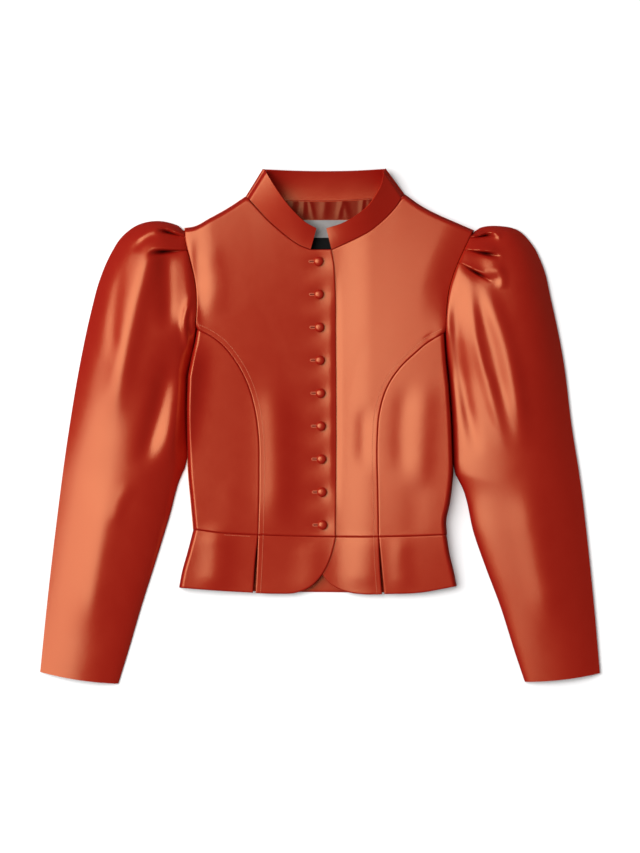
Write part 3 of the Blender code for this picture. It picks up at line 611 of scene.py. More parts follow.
def inset(grid, gap):
    """The grid with its four edges moved in by the gap, and the cells beside them drawn up."""
    moved = grid.copy()
    for turned in (False, True):
        source = grid.transpose(1, 0, 2) if turned else grid
        target = moved.transpose(1, 0, 2) if turned else moved
        for edge, inner in ((0, 3), (-1, -4)):
            normal = side_normals(source[edge])
            normal *= np.sign((normal * (source[inner] - source[edge])).sum(1))[:, None]
            away = np.linalg.norm(source - source[edge], axis=2)
            target += gap * np.clip(1 - away / INSET_FADE, 0, 1)[..., None] * normal[None]
    return moved


def panel_grid(lines, columns, rows, gap=SEAM / 2):
    """Grid of a four-sided panel from its bottom, top, left and right lines, turned to face up."""
    bottom, top, left, right = lines
    grid = patch(along(bottom, crowded(columns)), along(top, crowded(columns)),
                 along(left, crowded(rows)), along(right, crowded(rows)))
    middle = grid[rows // 2, columns // 2]
    across, up = grid[rows // 2, columns // 2 + 1] - middle, grid[rows // 2 + 1, columns // 2] - middle
    if across[0] * up[1] - across[1] * up[0] < 0:
        grid = grid[:, ::-1]
    return inset(grid, gap)


def front_panels(side):
    """Lines of each front panel, with its cells across and up in the solid."""
    line = LINES[side]
    corner = np.stack([line["hem_front"][-1], line["front_edge"][0]])
    return {
        "front": ((line["waist_front"], joined(line["shoulder"], line["neck"], line["lap_top"]),
                   joined(line["princess"], line["armhole"]), line["front_edge"]), 12, 15),
        "side_front": ((line["waist_side"], line["underarm"], line["side"], line["princess"]), 8, 10),
        "peplum_front": ((line["hem_front"], line["waist_front"], line["slit_front"][::-1], corner), 10, 6),
        "peplum_side": ((line["hem_side"], line["waist_side"], line["peplum_side"][::-1],
                         line["slit_side"][::-1]), 8, 6),
    }


def back_panels():
    """Lines of the back and the back peplum, with their cells across and up."""
    right, left = LINES["right"], LINES["left"]
    waist = np.stack([right["waist_side"][0], left["waist_side"][0]])
    top = joined(right["shoulder"], drawn(BACK_NECK), left["shoulder"][::-1])
    edges = [joined(line["side"], line["underarm"], line["armhole"]) for line in (right, left)]
    return {
        "back": ((waist, top, edges[0], edges[1]), 18, 16),
        "back_peplum": ((drawn(BACK_HEM), waist, right["peplum_side"][::-1],
                         left["peplum_side"][::-1]), 14, 4),
    }


def face_normals(grid):
    """Unit normals of a grid of points, pointing up where it lies flat."""
    normal = np.cross(np.gradient(grid, axis=1), np.gradient(grid, axis=0))
    return normal / np.maximum(np.linalg.norm(normal, axis=2), 1e-9)[..., None]


def raised(flat, level):
    """A grid in plan with a level for each of its points."""
    return np.concatenate([flat, np.broadcast_to(level, flat.shape[:2])[..., None]], axis=2)


def lifted(plan, level):
    """A polyline in plan with a level for each of its points."""
    return np.concatenate([plan, level[:, None]], axis=1)


def over_grid(flat, height):
    """Values of a height function over a grid in plan."""
    return height(flat.reshape(-1, 2)).reshape(flat.shape[:2])


def edge_turn(flat, cloth):
    """How far a panel's outer face turns down towards its four edges."""
    border = np.concatenate([flat[0], flat[1:, -1], flat[-1, -2::-1], flat[-2::-1, 0]])
    gap = over_grid(flat, lambda points: nearest(points, border[::2])[0])
    gap[[0, -1]] = 0
    gap[:, [0, -1]] = 0
    return cloth.edge_dip / METRE * (1 - rounded(gap, cloth.edge_roll / METRE))


def seam_side(side):
    """Line that the sleeve follows on its seam side: armhole, body side, then its own free edge."""
    line = LINES[side]
    free = line["sleeve_inner"]
    beside = line["side"][::-1]
    beside = beside[beside[:, 1] > free[0, 1] + FREE_EDGE_GAP]
    held = joined(line["armhole"][::-1], line["underarm"][::-1], beside)
    turn = -1 if side == "right" else 1
    return np.concatenate([held + ARM_GAP * turn * side_normals(held), free])


def ring_values(rows, field):
    """One of the rings' values at these ring numbers."""
    return smooth(rows, range(len(RINGS)), [getattr(ring, field) for ring in RINGS])


def pleats_of(side):
    return [pleat for pleat in PLEATS if pleat.side == side]


def sleeve_rows(side, count):
    """Ring numbers for a sleeve's sections, crowded at each pleat."""
    fine = np.linspace(0, len(RINGS) - 1, ROW_SAMPLES)
    inner = ring_values(fine, "inner") * lengths(seam_side(side))[-1]
    rows = list(np.linspace(0, len(RINGS) - 1, count))
    for pleat in pleats_of(side):
        rows = [row for row in rows if abs(np.interp(row, fine, inner) - pleat.inner) > PLEAT_ROWS[-1]]
        rows += list(np.interp(pleat.inner + np.concatenate([-PLEAT_ROWS, PLEAT_ROWS]), inner, fine))
    return np.array(sorted(rows))


def pleat_height(side, inner, share):
    """Knife pleats: a raised lip on the shoulder side of each line and a hollow under it."""
    total = np.zeros(np.broadcast(inner, share).shape)
    for pleat in pleats_of(side):
        gap = inner - pleat.inner
        part = share / pleat.reach
        below = (1 + np.tanh(gap / PLEAT_EDGE)) / 2
        lip = (1 - below) * np.exp(-np.abs(gap) / PLEAT_LIP)
        lip -= HOLLOW_DEPTH * below * np.exp(-np.abs(gap) / PLEAT_HOLLOW)
        total += pleat.depth * lip * ramp(part, MOUTH_FROM, MOUTH_FULL) * ramp(1 - part, 0, MOUTH_FADE)
    return total


def pleat_slits(side, inner, share):
    """How deep each point is in the slits of the pleats, from 0 to 1, widest and deepest away from the seam;
    it carves the slits and also sets painted shade there.
    """
    total = np.zeros(np.broadcast(inner, share).shape)
    for pleat in pleats_of(side):
        part = share / pleat.reach
        width = SLIT_WIDTH * (SLIT_NARROW + part.clip(0, 1))
        deep = SLIT_SHALLOW + (1 - SLIT_SHALLOW) * ramp(part, SLIT_FROM, SLIT_FULL)
        deep *= ramp(1 - part, 0, SLIT_FADE)
        total = np.maximum(total, deep * np.exp(-((inner - pleat.inner) / width) ** 2))
    return total


def sleeve_faces(side, rows, top_cells, floor_cells, crease_depth):
    """Outer and inner faces of a sleeve: over the top from the seam, round the fold and back underneath."""
    inner_line, outer_line = seam_side(side), LINES[side]["sleeve_outer"]
    inner_share = ring_values(rows, "inner")
    crest = ring_values(rows, "crest")[:, None]
    start = along(inner_line, inner_share)
    width = along(outer_line, ring_values(rows, "outer")) - start
    span = np.linalg.norm(width, axis=1)[:, None]
    corner = np.minimum(SLEEVE_CORNER, CORNER_SHARE * span)
    down = lengths(inner_line)[-1] * inner_share
    fallen = ramp(down - lengths(LINES[side]["armhole"])[-1], SEAM_FALL_FROM, UNDERARM_END)
    seam_height = EDGE + (front_height(start, SILHOUETTE) - EDGE) * (1 - fallen)
    seam_height = np.minimum(seam_height[:, None], crest)
    angle = np.linspace(0, math.pi, top_cells + 1)[None]
    share = (1 - np.cos(angle)) / 2
    curve = SLEEVE_SEAM_CURVES[side] * (1 - share) + SLEEVE_FOLD_CURVE * share
    ends = seam_height * (1 - share) + corner * share
    rise = ends + (crest - ends) * np.sin(angle).clip(0) ** curve
    turn = np.linspace(0, math.pi / 2, CORNER_CELLS + 1)[None, 1:]
    turned = 1 - corner * (1 - np.cos(turn)) / span
    drop = corner * (1 - np.sin(turn))
    floor = turned[:, -1:] * np.linspace(1, 0, floor_cells + 1)[None, 1:]
    floor = np.maximum(floor, FLOOR_GAP / span)
    share = np.concatenate([np.broadcast_to(share, rise.shape), turned, floor], axis=1)
    level = np.concatenate([rise, drop, np.zeros(floor.shape)], axis=1)
    plan = start[:, None] + share[..., None] * width[:, None]
    plan[..., 1] -= CUFF_BOW * ramp(inner_share, CUFF_BOW_FROM, 1)[:, None] * 4 * share * (1 - share)
    base = raised(plan, level)
    facing = 1 if side == "left" else -1
    inside = base + facing * WALL * face_normals(base)
    inside[..., 2] = np.maximum(inside[..., 2], WALL)
    top = top_cells + 1
    lift = over_grid(plan[:, :top], lambda points: all_folds(points, crease_depth))
    slits = pleat_slits(side, down[:, None], share[:, :top])
    lift += pleat_height(side, down[:, None], share[:, :top]) - SLIT_DEPTH * slits
    lift *= np.sin(angle).clip(0) ** LIFT_CURVE * ramp(crest, LIFT_FROM, LIFT_FULL)
    outer = base.copy()
    outer[:, :top, 2] += lift
    inside[:, :top, 2] += lift
    # The slits' depth also goes out as painted shade, which darkens the satin there
    shade = np.zeros(level.shape)
    shade[:, :top] = slits
    return outer, inside, shade


def collar_faces(front_cells, back_cells, fold_cells, height_cells):
    """Outer and inner faces of the collar band: right front, round the fold, back, fold, left front."""
    stations = []
    rise = crowded(height_cells)[:, None]
    fold_level = (BACK_RISE + ROLL_RISE) * rise ** 2
    gap = np.array([0, NECK_GAP])
    for side in ("right", "left"):
        line = LINES[side]
        base = along(line["neck"], even(front_cells))
        top = along(line["collar_top"], even(front_cells))
        out = base - top
        base = base - SEAM * out / np.linalg.norm(out, axis=1)[:, None]
        share = even(front_cells)
        low = np.maximum(front_height(base) - (under_lap(base) if side == "left" else 0), FOLD_LOW)
        stand = STAND_END + (STAND_MIDDLE - STAND_END) * np.sin(math.pi * share) + (1 - share) * FOLD_STAND
        front = [np.append(base[i] + rise * (top[i] - base[i]), low[i] + rise * stand[i], axis=1)
                 for i in range(front_cells, -1, -1)]
        crease = front[-1]
        run = crease[-1, :2] - crease[0, :2]
        sign = -1 if side == "right" else 1
        away = sign * np.array([run[1], -run[0]]) / np.linalg.norm(run)
        turns = np.linspace(0, math.pi, fold_cells + 2)[1:-1]
        drop = crease[:, 2:] - fold_level
        folds = []
        for turn in turns:
            plan = crease[:, :2] + FOLD_BULGE * math.sin(turn) * away + gap * (1 - math.cos(turn)) / 2
            folds.append(np.append(plan, fold_level + drop * (1 + math.cos(turn)) / 2, axis=1))
        pulled = list((1 - share[::-1]) ** 3) + [1.0] * fold_cells
        stations.append([station - np.append(FOLD_BULGE * pull * away, 0)
                         for station, pull in zip(front + folds, pulled)])
    low = along(drawn(BACK_NECK), even(back_cells)) + gap
    high = along(drawn(BACK_COLLAR_TOP), even(back_cells))
    away = np.minimum(even(back_cells), 1 - even(back_cells)) * lengths(high)[-1]
    top = BACK_RISE + ROLL_RISE * (1 - np.clip(away / ROLL_REACH, 0, 1)) ** 2
    back = [np.append(low[i] + rise * (high[i] - low[i]), top[i] * rise ** 2, axis=1)
            for i in range(1, back_cells)]
    band = np.stack(stations[0] + back + stations[1][::-1])
    normal = face_normals(band)
    inside = band + COLLAR_WALL * normal
    if inside[..., 2].min() < BELOW_FLOOR:
        inside = band - COLLAR_WALL * normal
    return band, inside


def cloth_map(grid):
    """Place of each point of a grid on the flat cloth, in metres."""
    across = np.linalg.norm(np.diff(grid, axis=1), axis=2).cumsum(1)
    up = np.linalg.norm(np.diff(grid, axis=0), axis=2).cumsum(0)
    across = np.pad(across, ((0, 0), (1, 0)))
    up = np.pad(up, ((1, 0), (0, 0)))
    across -= across[:, across.shape[1] // 2][:, None]
    return np.stack([across, up], axis=2) * METRE


def closed_mesh(name, outer, inner, shade=None):
    """One closed body from an outer and an inner face with the same grid, mapped as flat cloth."""
    rows, columns = outer.shape[:2]
    number = np.arange(rows * columns).reshape(rows, columns)
    corners = [number[:-1, :-1], number[:-1, 1:], number[1:, 1:], number[1:, :-1]]
    quads = np.stack(corners, axis=-1).reshape(-1, 4)
    ring = np.concatenate([number[0], number[1:, -1], number[-1, -2::-1], number[-2:0:-1, 0]])
    ahead = np.roll(ring, -1)
    count = rows * columns
    rim = np.stack([ahead, ring, ring + count, ahead + count], axis=1)
    faces = np.concatenate([quads, quads[:, ::-1] + count, rim])
    points = np.concatenate([outer.reshape(-1, 3), inner.reshape(-1, 3)]) * METRE
    first, second, third, fourth = (points[faces[:, i]] for i in range(4))
    volume = (first * (np.cross(second, third) + np.cross(third, fourth))).sum()
    if volume < 0:
        faces = faces[:, ::-1]
    mesh = bpy.data.meshes.new(name)
    mesh.from_pydata(points.tolist(), [], faces.tolist())
    places = np.tile(cloth_map(outer).reshape(-1, 2), (2, 1))
    layer = mesh.uv_layers.new(name=CLOTH_MAP)
    layer.data.foreach_set("uv", places[faces.ravel()].ravel())
    # Painted shade: the given depths go to the fold_shade attribute, which darkens the satin
    if shade is not None:
        depth = mesh.attributes.new(FOLD_SHADE, "FLOAT", "POINT")
        depth.data.foreach_set("value", np.tile(shade.ravel(), 2))
    return mesh


class Wire:
    """A node's output in a tree. Arithmetic on it adds Math nodes."""

    def __init__(self, tree, socket=None):
        self.tree = tree
        self.socket = socket

    @staticmethod
    def pick(sockets, key):
        """The socket with this number, identifier or name."""
        if isinstance(key, int):
            return sockets[key]
        exact = [socket for socket in sockets if socket.identifier == key]
        return (exact or [socket for socket in sockets if socket.name == key])[0]

    def node(self, kind, settings=None, sockets=None, output=0):
        """A new node, with its settings made first and then the values or links of its sockets."""
        made = self.tree.nodes.new(kind)
        for name, value in (settings or {}).items():
            setattr(made, name, value)
        for key, value in (sockets or {}).items():
            target = self.pick(made.inputs, key)
            if isinstance(value, Wire):
                self.tree.links.new(value.socket, target)
            else:
                target.default_value = value
        return Wire(self.tree, self.pick(made.outputs, output)) if made.outputs else made

    def other(self, output):
        """Another output of the same node."""
        return Wire(self.tree, self.pick(self.socket.node.outputs, output))

    def maths(self, operation, first, second):
        return self.node("ShaderNodeMath", {"operation": operation}, {0: first, 1: second})

    def __add__(self, other):
        return self.maths("ADD", self, other)

    def __radd__(self, other):
        return self.maths("ADD", other, self)

    def __sub__(self, other):
        return self.maths("SUBTRACT", self, other)

    def __rsub__(self, other):
        return self.maths("SUBTRACT", other, self)

    def __mul__(self, other):
        return self.maths("MULTIPLY", self, other)

    def __rmul__(self, other):
        return self.maths("MULTIPLY", other, self)

    def blend(self, share, first, second):
        """Colour between two, by a share from 0 to 1."""
        return self.node("ShaderNodeMix", {"data_type": "RGBA"},
                         {"Factor_Float": share, "A_Color": first, "B_Color": second}, "Result_Color")

    def noise(self, place, scale, detail=2.0, roughness=0.5):
        return self.node("ShaderNodeTexNoise", None,
                         {"Vector": place, "Scale": scale, "Detail": detail, "Roughness": roughness})

    def wave(self, place, direction, scale, distortion=0.0, detail=2.0):
        return self.node("ShaderNodeTexWave", {"bands_direction": direction},
                         {"Vector": place, "Scale": scale, "Distortion": distortion, "Detail": detail}, "Fac")

    def bump(self, height, strength, distance):
        return self.node("ShaderNodeBump", None,
                         {"Height": height, "Strength": strength, "Distance": distance})

    def object_place(self):
        return self.node("ShaderNodeTexCoord", output="Object")


def opaque(colour):
    return (*colour, 1.0)


def new_look(name):
    """An empty material and the wire that its nodes start from."""
    look = bpy.data.materials.new(name)
    look.use_nodes = True
    look.node_tree.nodes.clear()
    return look, Wire(look.node_tree)


def finished(look, start, sockets):
    """Closes a material with one Principled shader."""
    shader = start.node("ShaderNodeBsdfPrincipled", None, sockets)
    start.node("ShaderNodeOutputMaterial", None, {"Surface": shader})
    return look


def satin_look(colours, name, mapped, shine=1.0, tone=1.0):
    """Heavy satin: a matt body under tinted glosses, with fine warp floats, weft slubs and soft mottling, and
    painted shade deep in the pleats' slits, where the body turns near black and the glosses fade; shine and
    tone dim the glosses and the body as painted shade.
    """
    look, start = new_look(name)
    place = start.node("ShaderNodeUVMap", {"uv_map": CLOTH_MAP}) if mapped else start.object_place()
    mottle = start.noise(place, MOTTLE_SCALE, detail=3.0, roughness=0.55)
    slubs = start.noise(start.node("ShaderNodeMapping", None, {"Vector": place, "Scale": SLUB_SCALE}), 1.0)
    floats = start.wave(place, "X", FLOAT_SCALE, distortion=0.6, detail=1.0)
    crumple = start.noise(place, CRUMPLE_SCALE, detail=3.0, roughness=0.6)
    # Painted shade: the fold_shade attribute darkens the body to near black deep in the pleats' slits and
    # takes the glosses away there
    deep = start.node("ShaderNodeAttribute", {"attribute_name": FOLD_SHADE}, output="Fac")
    # A tone below 1 darkens the body as painted shade, and a shine below 1 dims the glosses, for the facing
    # inside the neck
    dark, light = ([tone * part for part in colour] for colour in (colours.satin_deep, colours.satin))
    colour = start.blend(mottle, opaque(dark), opaque(light))
    colour = start.blend(deep, colour, opaque(colours.fold))
    height = floats * 0.25 + slubs * 0.12 + crumple * 0.5
    bump = start.bump(height, strength=0.35, distance=0.00012)
    mixed = start.node("ShaderNodeBsdfPrincipled", None, {
        "Base Color": colour, "Roughness": 0.6 + 0.1 * mottle, "Normal": bump, "Specular IOR Level": 0.1,
        "Specular Tint": opaque(colours.sheen)})
    for gloss in GLOSSES:
        tint = opaque(getattr(colours, gloss.tint))
        layer = start.node("ShaderNodeBsdfPrincipled", None, {
            "Base Color": tint, "Metallic": 1.0, "Roughness": gloss.rough + 0.06 * mottle, "Normal": bump,
            "Specular Tint": tint})
        share = shine * gloss.share * (1 - deep)
        mixed = start.node("ShaderNodeMixShader", None, {0: share, 1: mixed, 2: layer})
    start.node("ShaderNodeOutputMaterial", None, {"Surface": mixed})
    return look


def thread_look(colours):
    """Twisted sewing thread."""
    look, start = new_look("rust_thread")
    twist = start.wave(start.object_place(), "DIAGONAL", THREAD_SCALE, distortion=0.4)
    bump = start.bump(twist, strength=0.5, distance=0.0001)
    colour = start.blend(twist, opaque(colours.satin), opaque(colours.thread))
    return finished(look, start, {
        "Base Color": colour, "Roughness": 0.42 + 0.1 * twist, "Normal": bump,
        "Specular Tint": opaque(colours.sheen)})


def slit_shadow_look(colours):
    """Painted shadow inside a buttonhole's cut, flecked with dark frayed satin."""
    look, start = new_look("buttonhole_slit_shadow")
    fray = start.noise(start.object_place(), FRAY_SCALE)
    colour = start.blend(fray, opaque(colours.slit_shadow), opaque(colours.slit_fray_shadow))
    return finished(look, start, {"Base Color": colour, "Roughness": 0.8 + 0.1 * fray})


def label_look(colours, band_top, soft=0.0003):
    """Blank woven tape, pale above and dark in a band along its lower edge."""
    look, start = new_look("label_tape")
    place = start.object_place()
    level = start.node("ShaderNodeSeparateXYZ", None, {"Vector": place}, "Y")
    pale = start.node("ShaderNodeMapRange", {"interpolation_type": "SMOOTHSTEP"},
                      {"Value": level, "From Min": band_top - soft, "From Max": band_top + soft})
    weft = start.wave(place, "Y", THREAD_SCALE)
    cloud = start.noise(place, CLOUD_SCALE, detail=3.0)
    tone = start.blend(cloud * 0.6 + weft * 0.25, opaque(colours.label), opaque(colours.label_grey))
    return finished(look, start, {
        "Base Color": start.blend(pale, opaque(colours.label_band), tone), "Roughness": 0.62 + 0.1 * weft,
        "Normal": start.bump(weft, strength=0.5, distance=0.0001), "Specular IOR Level": 0.1})


def floor_look(colours):
    """A plain matt floor."""
    look, start = new_look("pale_floor")
    grain = start.noise(start.object_place(), GRAIN_SCALE)
    return finished(look, start, {"Base Color": opaque(colours.floor), "Roughness": 0.85 + 0.05 * grain})


def look_named(name, make):
    """The material of this name, made on its first use."""
    return bpy.data.materials.get(name) or make()


def satin(scene):
    return look_named("rust_satin", lambda: satin_look(scene.jacket_colours, "rust_satin", True))


def piece(name, mesh, look, nodes=()):
    """A finished piece that rides on the jacket and stands for its nodes."""
    mesh.materials.clear()
    mesh.materials.append(look)
    mesh.shade_smooth()
    mesh.set_sharp_from_angle(angle=SHARP_EDGE)
    made = bpy.data.objects.new(name, mesh)
    bpy.context.scene.collection.objects.link(made)
    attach(made, BODY)
    if nodes:
        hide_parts(*nodes)
    return made


def cloth_piece(node, mesh, look):
    """A cloth piece in place of its node."""
    made = piece(f"{node}_cloth", mesh, look, [node])
    return made


def new_tree(name, inputs, output):
    """A node tree with these inputs and one geometry output: the wire to start from, and what it is given."""
    tree = bpy.data.node_groups.new(name, "GeometryNodeTree")
    for label, kind in inputs.items():
        tree.interface.new_socket(label, in_out="INPUT", socket_type=f"NodeSocket{kind}")
    tree.interface.new_socket(output, in_out="OUTPUT", socket_type="NodeSocketGeometry")
    given = {socket.name: Wire(tree, socket) for socket in tree.nodes.new("NodeGroupInput").outputs}
    return Wire(tree), given


def closed_tree(start, instances, material, output):
    """Ends a tree with its instances as real faces in one material."""
    real = start.node("GeometryNodeRealizeInstances", None, {"Geometry": instances})
    dressed = start.node("GeometryNodeSetMaterial", None, {"Geometry": real, "Material": material})
    start.node("NodeGroupOutput", None, {output: dressed})
    return start.tree


def stitch_tree():
    """Geometry Nodes: a rounded stitch on each step of a path, as real faces."""
    inputs = {"Path": "Geometry", "Pitch": "Float", "Across": "Float", "Height": "Float", "Along": "Float",
              "Thread": "Material"}
    start, given = new_tree("stitches_on_path", inputs, "Stitches")
    path = start.node("GeometryNodeMeshToCurve", None, {"Mesh": given["Path"]})
    steps = start.node("GeometryNodeCurveToPoints", {"mode": "LENGTH"},
                       {"Curve": path, "Length": given["Pitch"]}, "Points")
    bead = start.node("GeometryNodeMeshUVSphere", None, {"Segments": 8, "Rings": 6, "Radius": 0.5}, "Mesh")
    size = start.node("ShaderNodeCombineXYZ", None,
                      {"X": given["Across"], "Y": given["Height"], "Z": given["Along"]})
    placed = start.node("GeometryNodeInstanceOnPoints", None, {
        "Points": steps, "Instance": bead, "Rotation": steps.other("Rotation"), "Scale": size})
    return closed_tree(start, placed, given["Thread"], "Stitches")


def button_tree():
    """Geometry Nodes: one covered button on each point, each turned a little differently."""
    inputs = {"Points": "Geometry", "Button": "Object", "Most turn": "Float", "Seed": "Int",
              "Cover": "Material"}
    start, given = new_tree("buttons_on_points", inputs, "Buttons")
    dome = start.node("GeometryNodeObjectInfo", None, {"Object": given["Button"]}, "Geometry")
    turn = start.node("FunctionNodeRandomValue", {"data_type": "FLOAT"},
                      {"Max_001": given["Most turn"], "Seed": given["Seed"]}, "Value_001")
    turned = start.node("ShaderNodeCombineXYZ", None, {"Z": turn})
    placed = start.node("GeometryNodeInstanceOnPoints", None,
                        {"Points": given["Points"], "Instance": dome, "Rotation": turned})
    return closed_tree(start, placed, given["Cover"], "Buttons")


def grown(name, source, tree, values):
    """The plain mesh that a node tree makes of a source mesh."""
    holder = bpy.data.objects.new(f"{name}_source", source)
    bpy.context.scene.collection.objects.link(holder)
    modifier = holder.modifiers.new("grow", "NODES")
    modifier.node_group = tree
    keys = {item.name: item.identifier for item in tree.interface.items_tree if item.in_out == "INPUT"}
    for label, value in values.items():
        modifier[keys[label]] = value
    graph = bpy.context.evaluated_depsgraph_get()
    mesh = bpy.data.meshes.new_from_object(holder.evaluated_get(graph))
    mesh.name = name
    holder.modifiers.remove(modifier)
    bpy.data.objects.remove(holder)
    return mesh


def paths_mesh(name, paths):
    """A mesh of edges along some polylines, in metres."""
    points, edges = [], []
    for path in paths:
        first = len(points)
        points += (np.asarray(path) * METRE).tolist()
        edges += [(first + i, first + i + 1) for i in range(len(path) - 1)]
    mesh = bpy.data.meshes.new(name)
    mesh.from_pydata(points, edges, [])
    return mesh


def sewn(name, scene, paths, sizes):
    """A piece of thread with a stitch on each step of some paths."""
    look = look_named("rust_thread", lambda: thread_look(scene.jacket_colours))
    tree = bpy.data.node_groups.get("stitches_on_path") or stitch_tree()
    mesh = grown(name, paths_mesh(f"{name}_paths", paths), tree, {**sizes, "Thread": look})
    return piece(name, mesh, look)


def moved_in(line, gap, toward):
    """A polyline in plan moved sideways by a gap, to the side of a point."""
    normal = side_normals(line)
    middle = len(line) // 2
    side = np.sign((normal[middle] * (np.asarray(toward) - line[middle])).sum())
    return line + gap * side * normal


def button_mesh():
    """Cloth-covered dome: a soft crown, a rolled rim with small puckers, and a shank."""
    low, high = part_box("button_1")
    tall = (high.z - low.z) / METRE
    profile = [(0.0, -SHANK_DROP), (SHANK_RADIUS, -SHANK_DROP), (SHANK_RADIUS, SHANK_TOP)]
    profile += [(share * BUTTON_RADIUS, level) for share, level in BUTTON_SIDES]
    for turn in np.linspace(0, math.pi / 2, CROWN_CELLS + 1)[1:-1]:
        level = BUTTON_RIM + (tall - BUTTON_RIM) * math.sin(turn)
        profile.append((BUTTON_RADIUS * math.cos(turn) ** CROWN_CURVE, level))
    profile.append((0.0, tall))
    shape = bmesh.new()
    spots = [shape.verts.new((radius * METRE, 0, level * METRE)) for radius, level in profile]
    edges = [shape.edges.new(pair) for pair in zip(spots, spots[1:])]
    bmesh.ops.spin(shape, geom=spots + edges, cent=(0, 0, 0), axis=(0, 0, 1), angle=2 * math.pi,
                   steps=BUTTON_FACETS)
    bmesh.ops.remove_doubles(shape, verts=shape.verts[:], dist=1e-6)
    for spot in shape.verts:
        reach = math.hypot(spot.co.x, spot.co.y) / (BUTTON_RADIUS * METRE)
        turn = math.atan2(spot.co.y, spot.co.x)
        pucker = sum(height * math.sin(count * turn + start) for count, height, start in PUCKERS)
        if reach > PUCKER_FROM and spot.co.z > 0:
            drawn_in = 1 - pucker * (reach - PUCKER_FROM) / (1 - PUCKER_FROM)
            spot.co.x *= drawn_in
            spot.co.y *= drawn_in
    bmesh.ops.recalc_face_normals(shape, faces=shape.faces[:])
    mesh = bpy.data.meshes.new("button_dome")
    shape.to_mesh(mesh)
    shape.free()
    return mesh


class JACKET_OT_panels(bpy.types.Operator):
    """Makes the fronts, side fronts and front peplum pieces"""

    bl_idname = "jacket.panels"
    bl_label = "Front Panels"

    def execute(self, context):
        cloth = context.scene.jacket_cloth
        fine = cloth.panel_fineness
        for side in ("right", "left"):
            for name, (lines, columns, rows) in front_panels(side).items():
                flat = panel_grid(lines, columns * fine, rows * fine)
                base = raised(flat, over_grid(flat, front_height))
                inner = base - WALL * face_normals(base)
                inner[..., 2] = np.maximum(inner[..., 2], EDGE)
                full = over_grid(flat, lambda points: cloth_height(points, side, cloth.crease_depth))
                lift = full - base[..., 2]
                outer = base.copy()
                outer[..., 2] += lift - edge_turn(flat, cloth) * ramp(base[..., 2], EDGE, EDGE + TURN_RISE)
                inner[..., 2] += lift
                node = f"{name}_{side}"
                cloth_piece(node, closed_mesh(node, outer, inner), satin(context.scene))
        return {"FINISHED"}


class JACKET_OT_back(bpy.types.Operator):
    """Makes the back and the back peplum, flat on the floor"""

    bl_idname = "jacket.back"
    bl_label = "Back"

    def execute(self, context):
        cloth = context.scene.jacket_cloth
        for node, (lines, columns, rows) in back_panels().items():
            gap = -BACK_REACH if node == "back" else SEAM / 2
            flat = panel_grid(lines, BACK_CELLS * columns, BACK_CELLS * rows, gap)
            top = raised(flat, WALL - edge_turn(flat, cloth) / 2)
            cloth_piece(node, closed_mesh(node, top, raised(flat, 0.0)), satin(context.scene))
        return {"FINISHED"}


class JACKET_OT_sleeves(bpy.types.Operator):
    """Makes the pleated puff sleeves"""

    bl_idname = "jacket.sleeves"
    bl_label = "Sleeves"

    def execute(self, context):
        cloth = context.scene.jacket_cloth
        for side in ("right", "left"):
            rows = sleeve_rows(side, SLEEVE_ROWS * cloth.panel_fineness)
            top_cells = SLEEVE_TOP_CELLS * cloth.panel_fineness
            faces = sleeve_faces(side, rows, top_cells, SLEEVE_FLOOR_CELLS, cloth.crease_depth)
            node = f"sleeve_{side}"
            cloth_piece(node, closed_mesh(node, *faces), satin(context.scene))
        return {"FINISHED"}


class JACKET_OT_collar(bpy.types.Operator):
    """Makes the stand collar"""

    bl_idname = "jacket.collar"
    bl_label = "Collar"

    def execute(self, context):
        outer, inner = collar_faces(front_cells=60, back_cells=80, fold_cells=9, height_cells=16)
        cloth_piece("collar", closed_mesh("collar", outer, inner), satin(context.scene))
        return {"FINISHED"}


class JACKET_OT_neck_inside(bpy.types.Operator):
    """Makes the gathered facing and the blank label inside the back neck"""

    bl_idname = "jacket.neck_inside"
    bl_label = "Neck Facing and Label"

    def execute(self, context):
        columns, rows = FACING_CELLS
        low = along(drawn(FACING_LOW), even(columns))
        high = along(drawn(BACK_NECK), FACING_FROM + FACING_RUN * even(columns)) - np.array([0, FACING_DROP])
        up = even(rows)[:, None]
        flat = low[None] + up[..., None] * (high - low)[None]
        across = even(columns)[None]
        rise = sum(gather.height * np.exp(-((across - gather.share - gather.lean * up) / gather.width) ** 2)
                   for gather in GATHERS)
        rise = GATHER_SHARE * rise * (GATHER_LOW + (1 - GATHER_LOW) * ramp(up, 0, GATHER_FULL))
        top = raised(flat, EDGE + LABEL_WALL + rise)
        # Painted shade: the facing inside the neck gets a darker body and less gloss
        inside = satin_look(context.scene.jacket_colours, "facing_satin_painted_shade", True, FACING_SHADE_SHINE, FACING_SHADE_TONE)
        cloth_piece("neck_facing", closed_mesh("neck_facing", top, raised(flat, EDGE)), inside)
        low, high = (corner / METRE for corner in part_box("neck_label"))
        across, up = np.meshgrid(np.linspace(low.x, high.x, LABEL_POINTS[0]),
                                 np.linspace(low.y, high.y, LABEL_POINTS[1]))
        flat = np.stack([across, up], axis=2)
        wave = sum(height * np.sin(across * x + up * y) for height, x, y in LABEL_WAVES)
        top = raised(flat, high.z + wave)
        look = label_look(context.scene.jacket_colours, (low.y + LABEL_BAND) * METRE)
        cloth_piece("neck_label", closed_mesh("neck_label", top, raised(flat, low.z)), look)
        return {"FINISHED"}


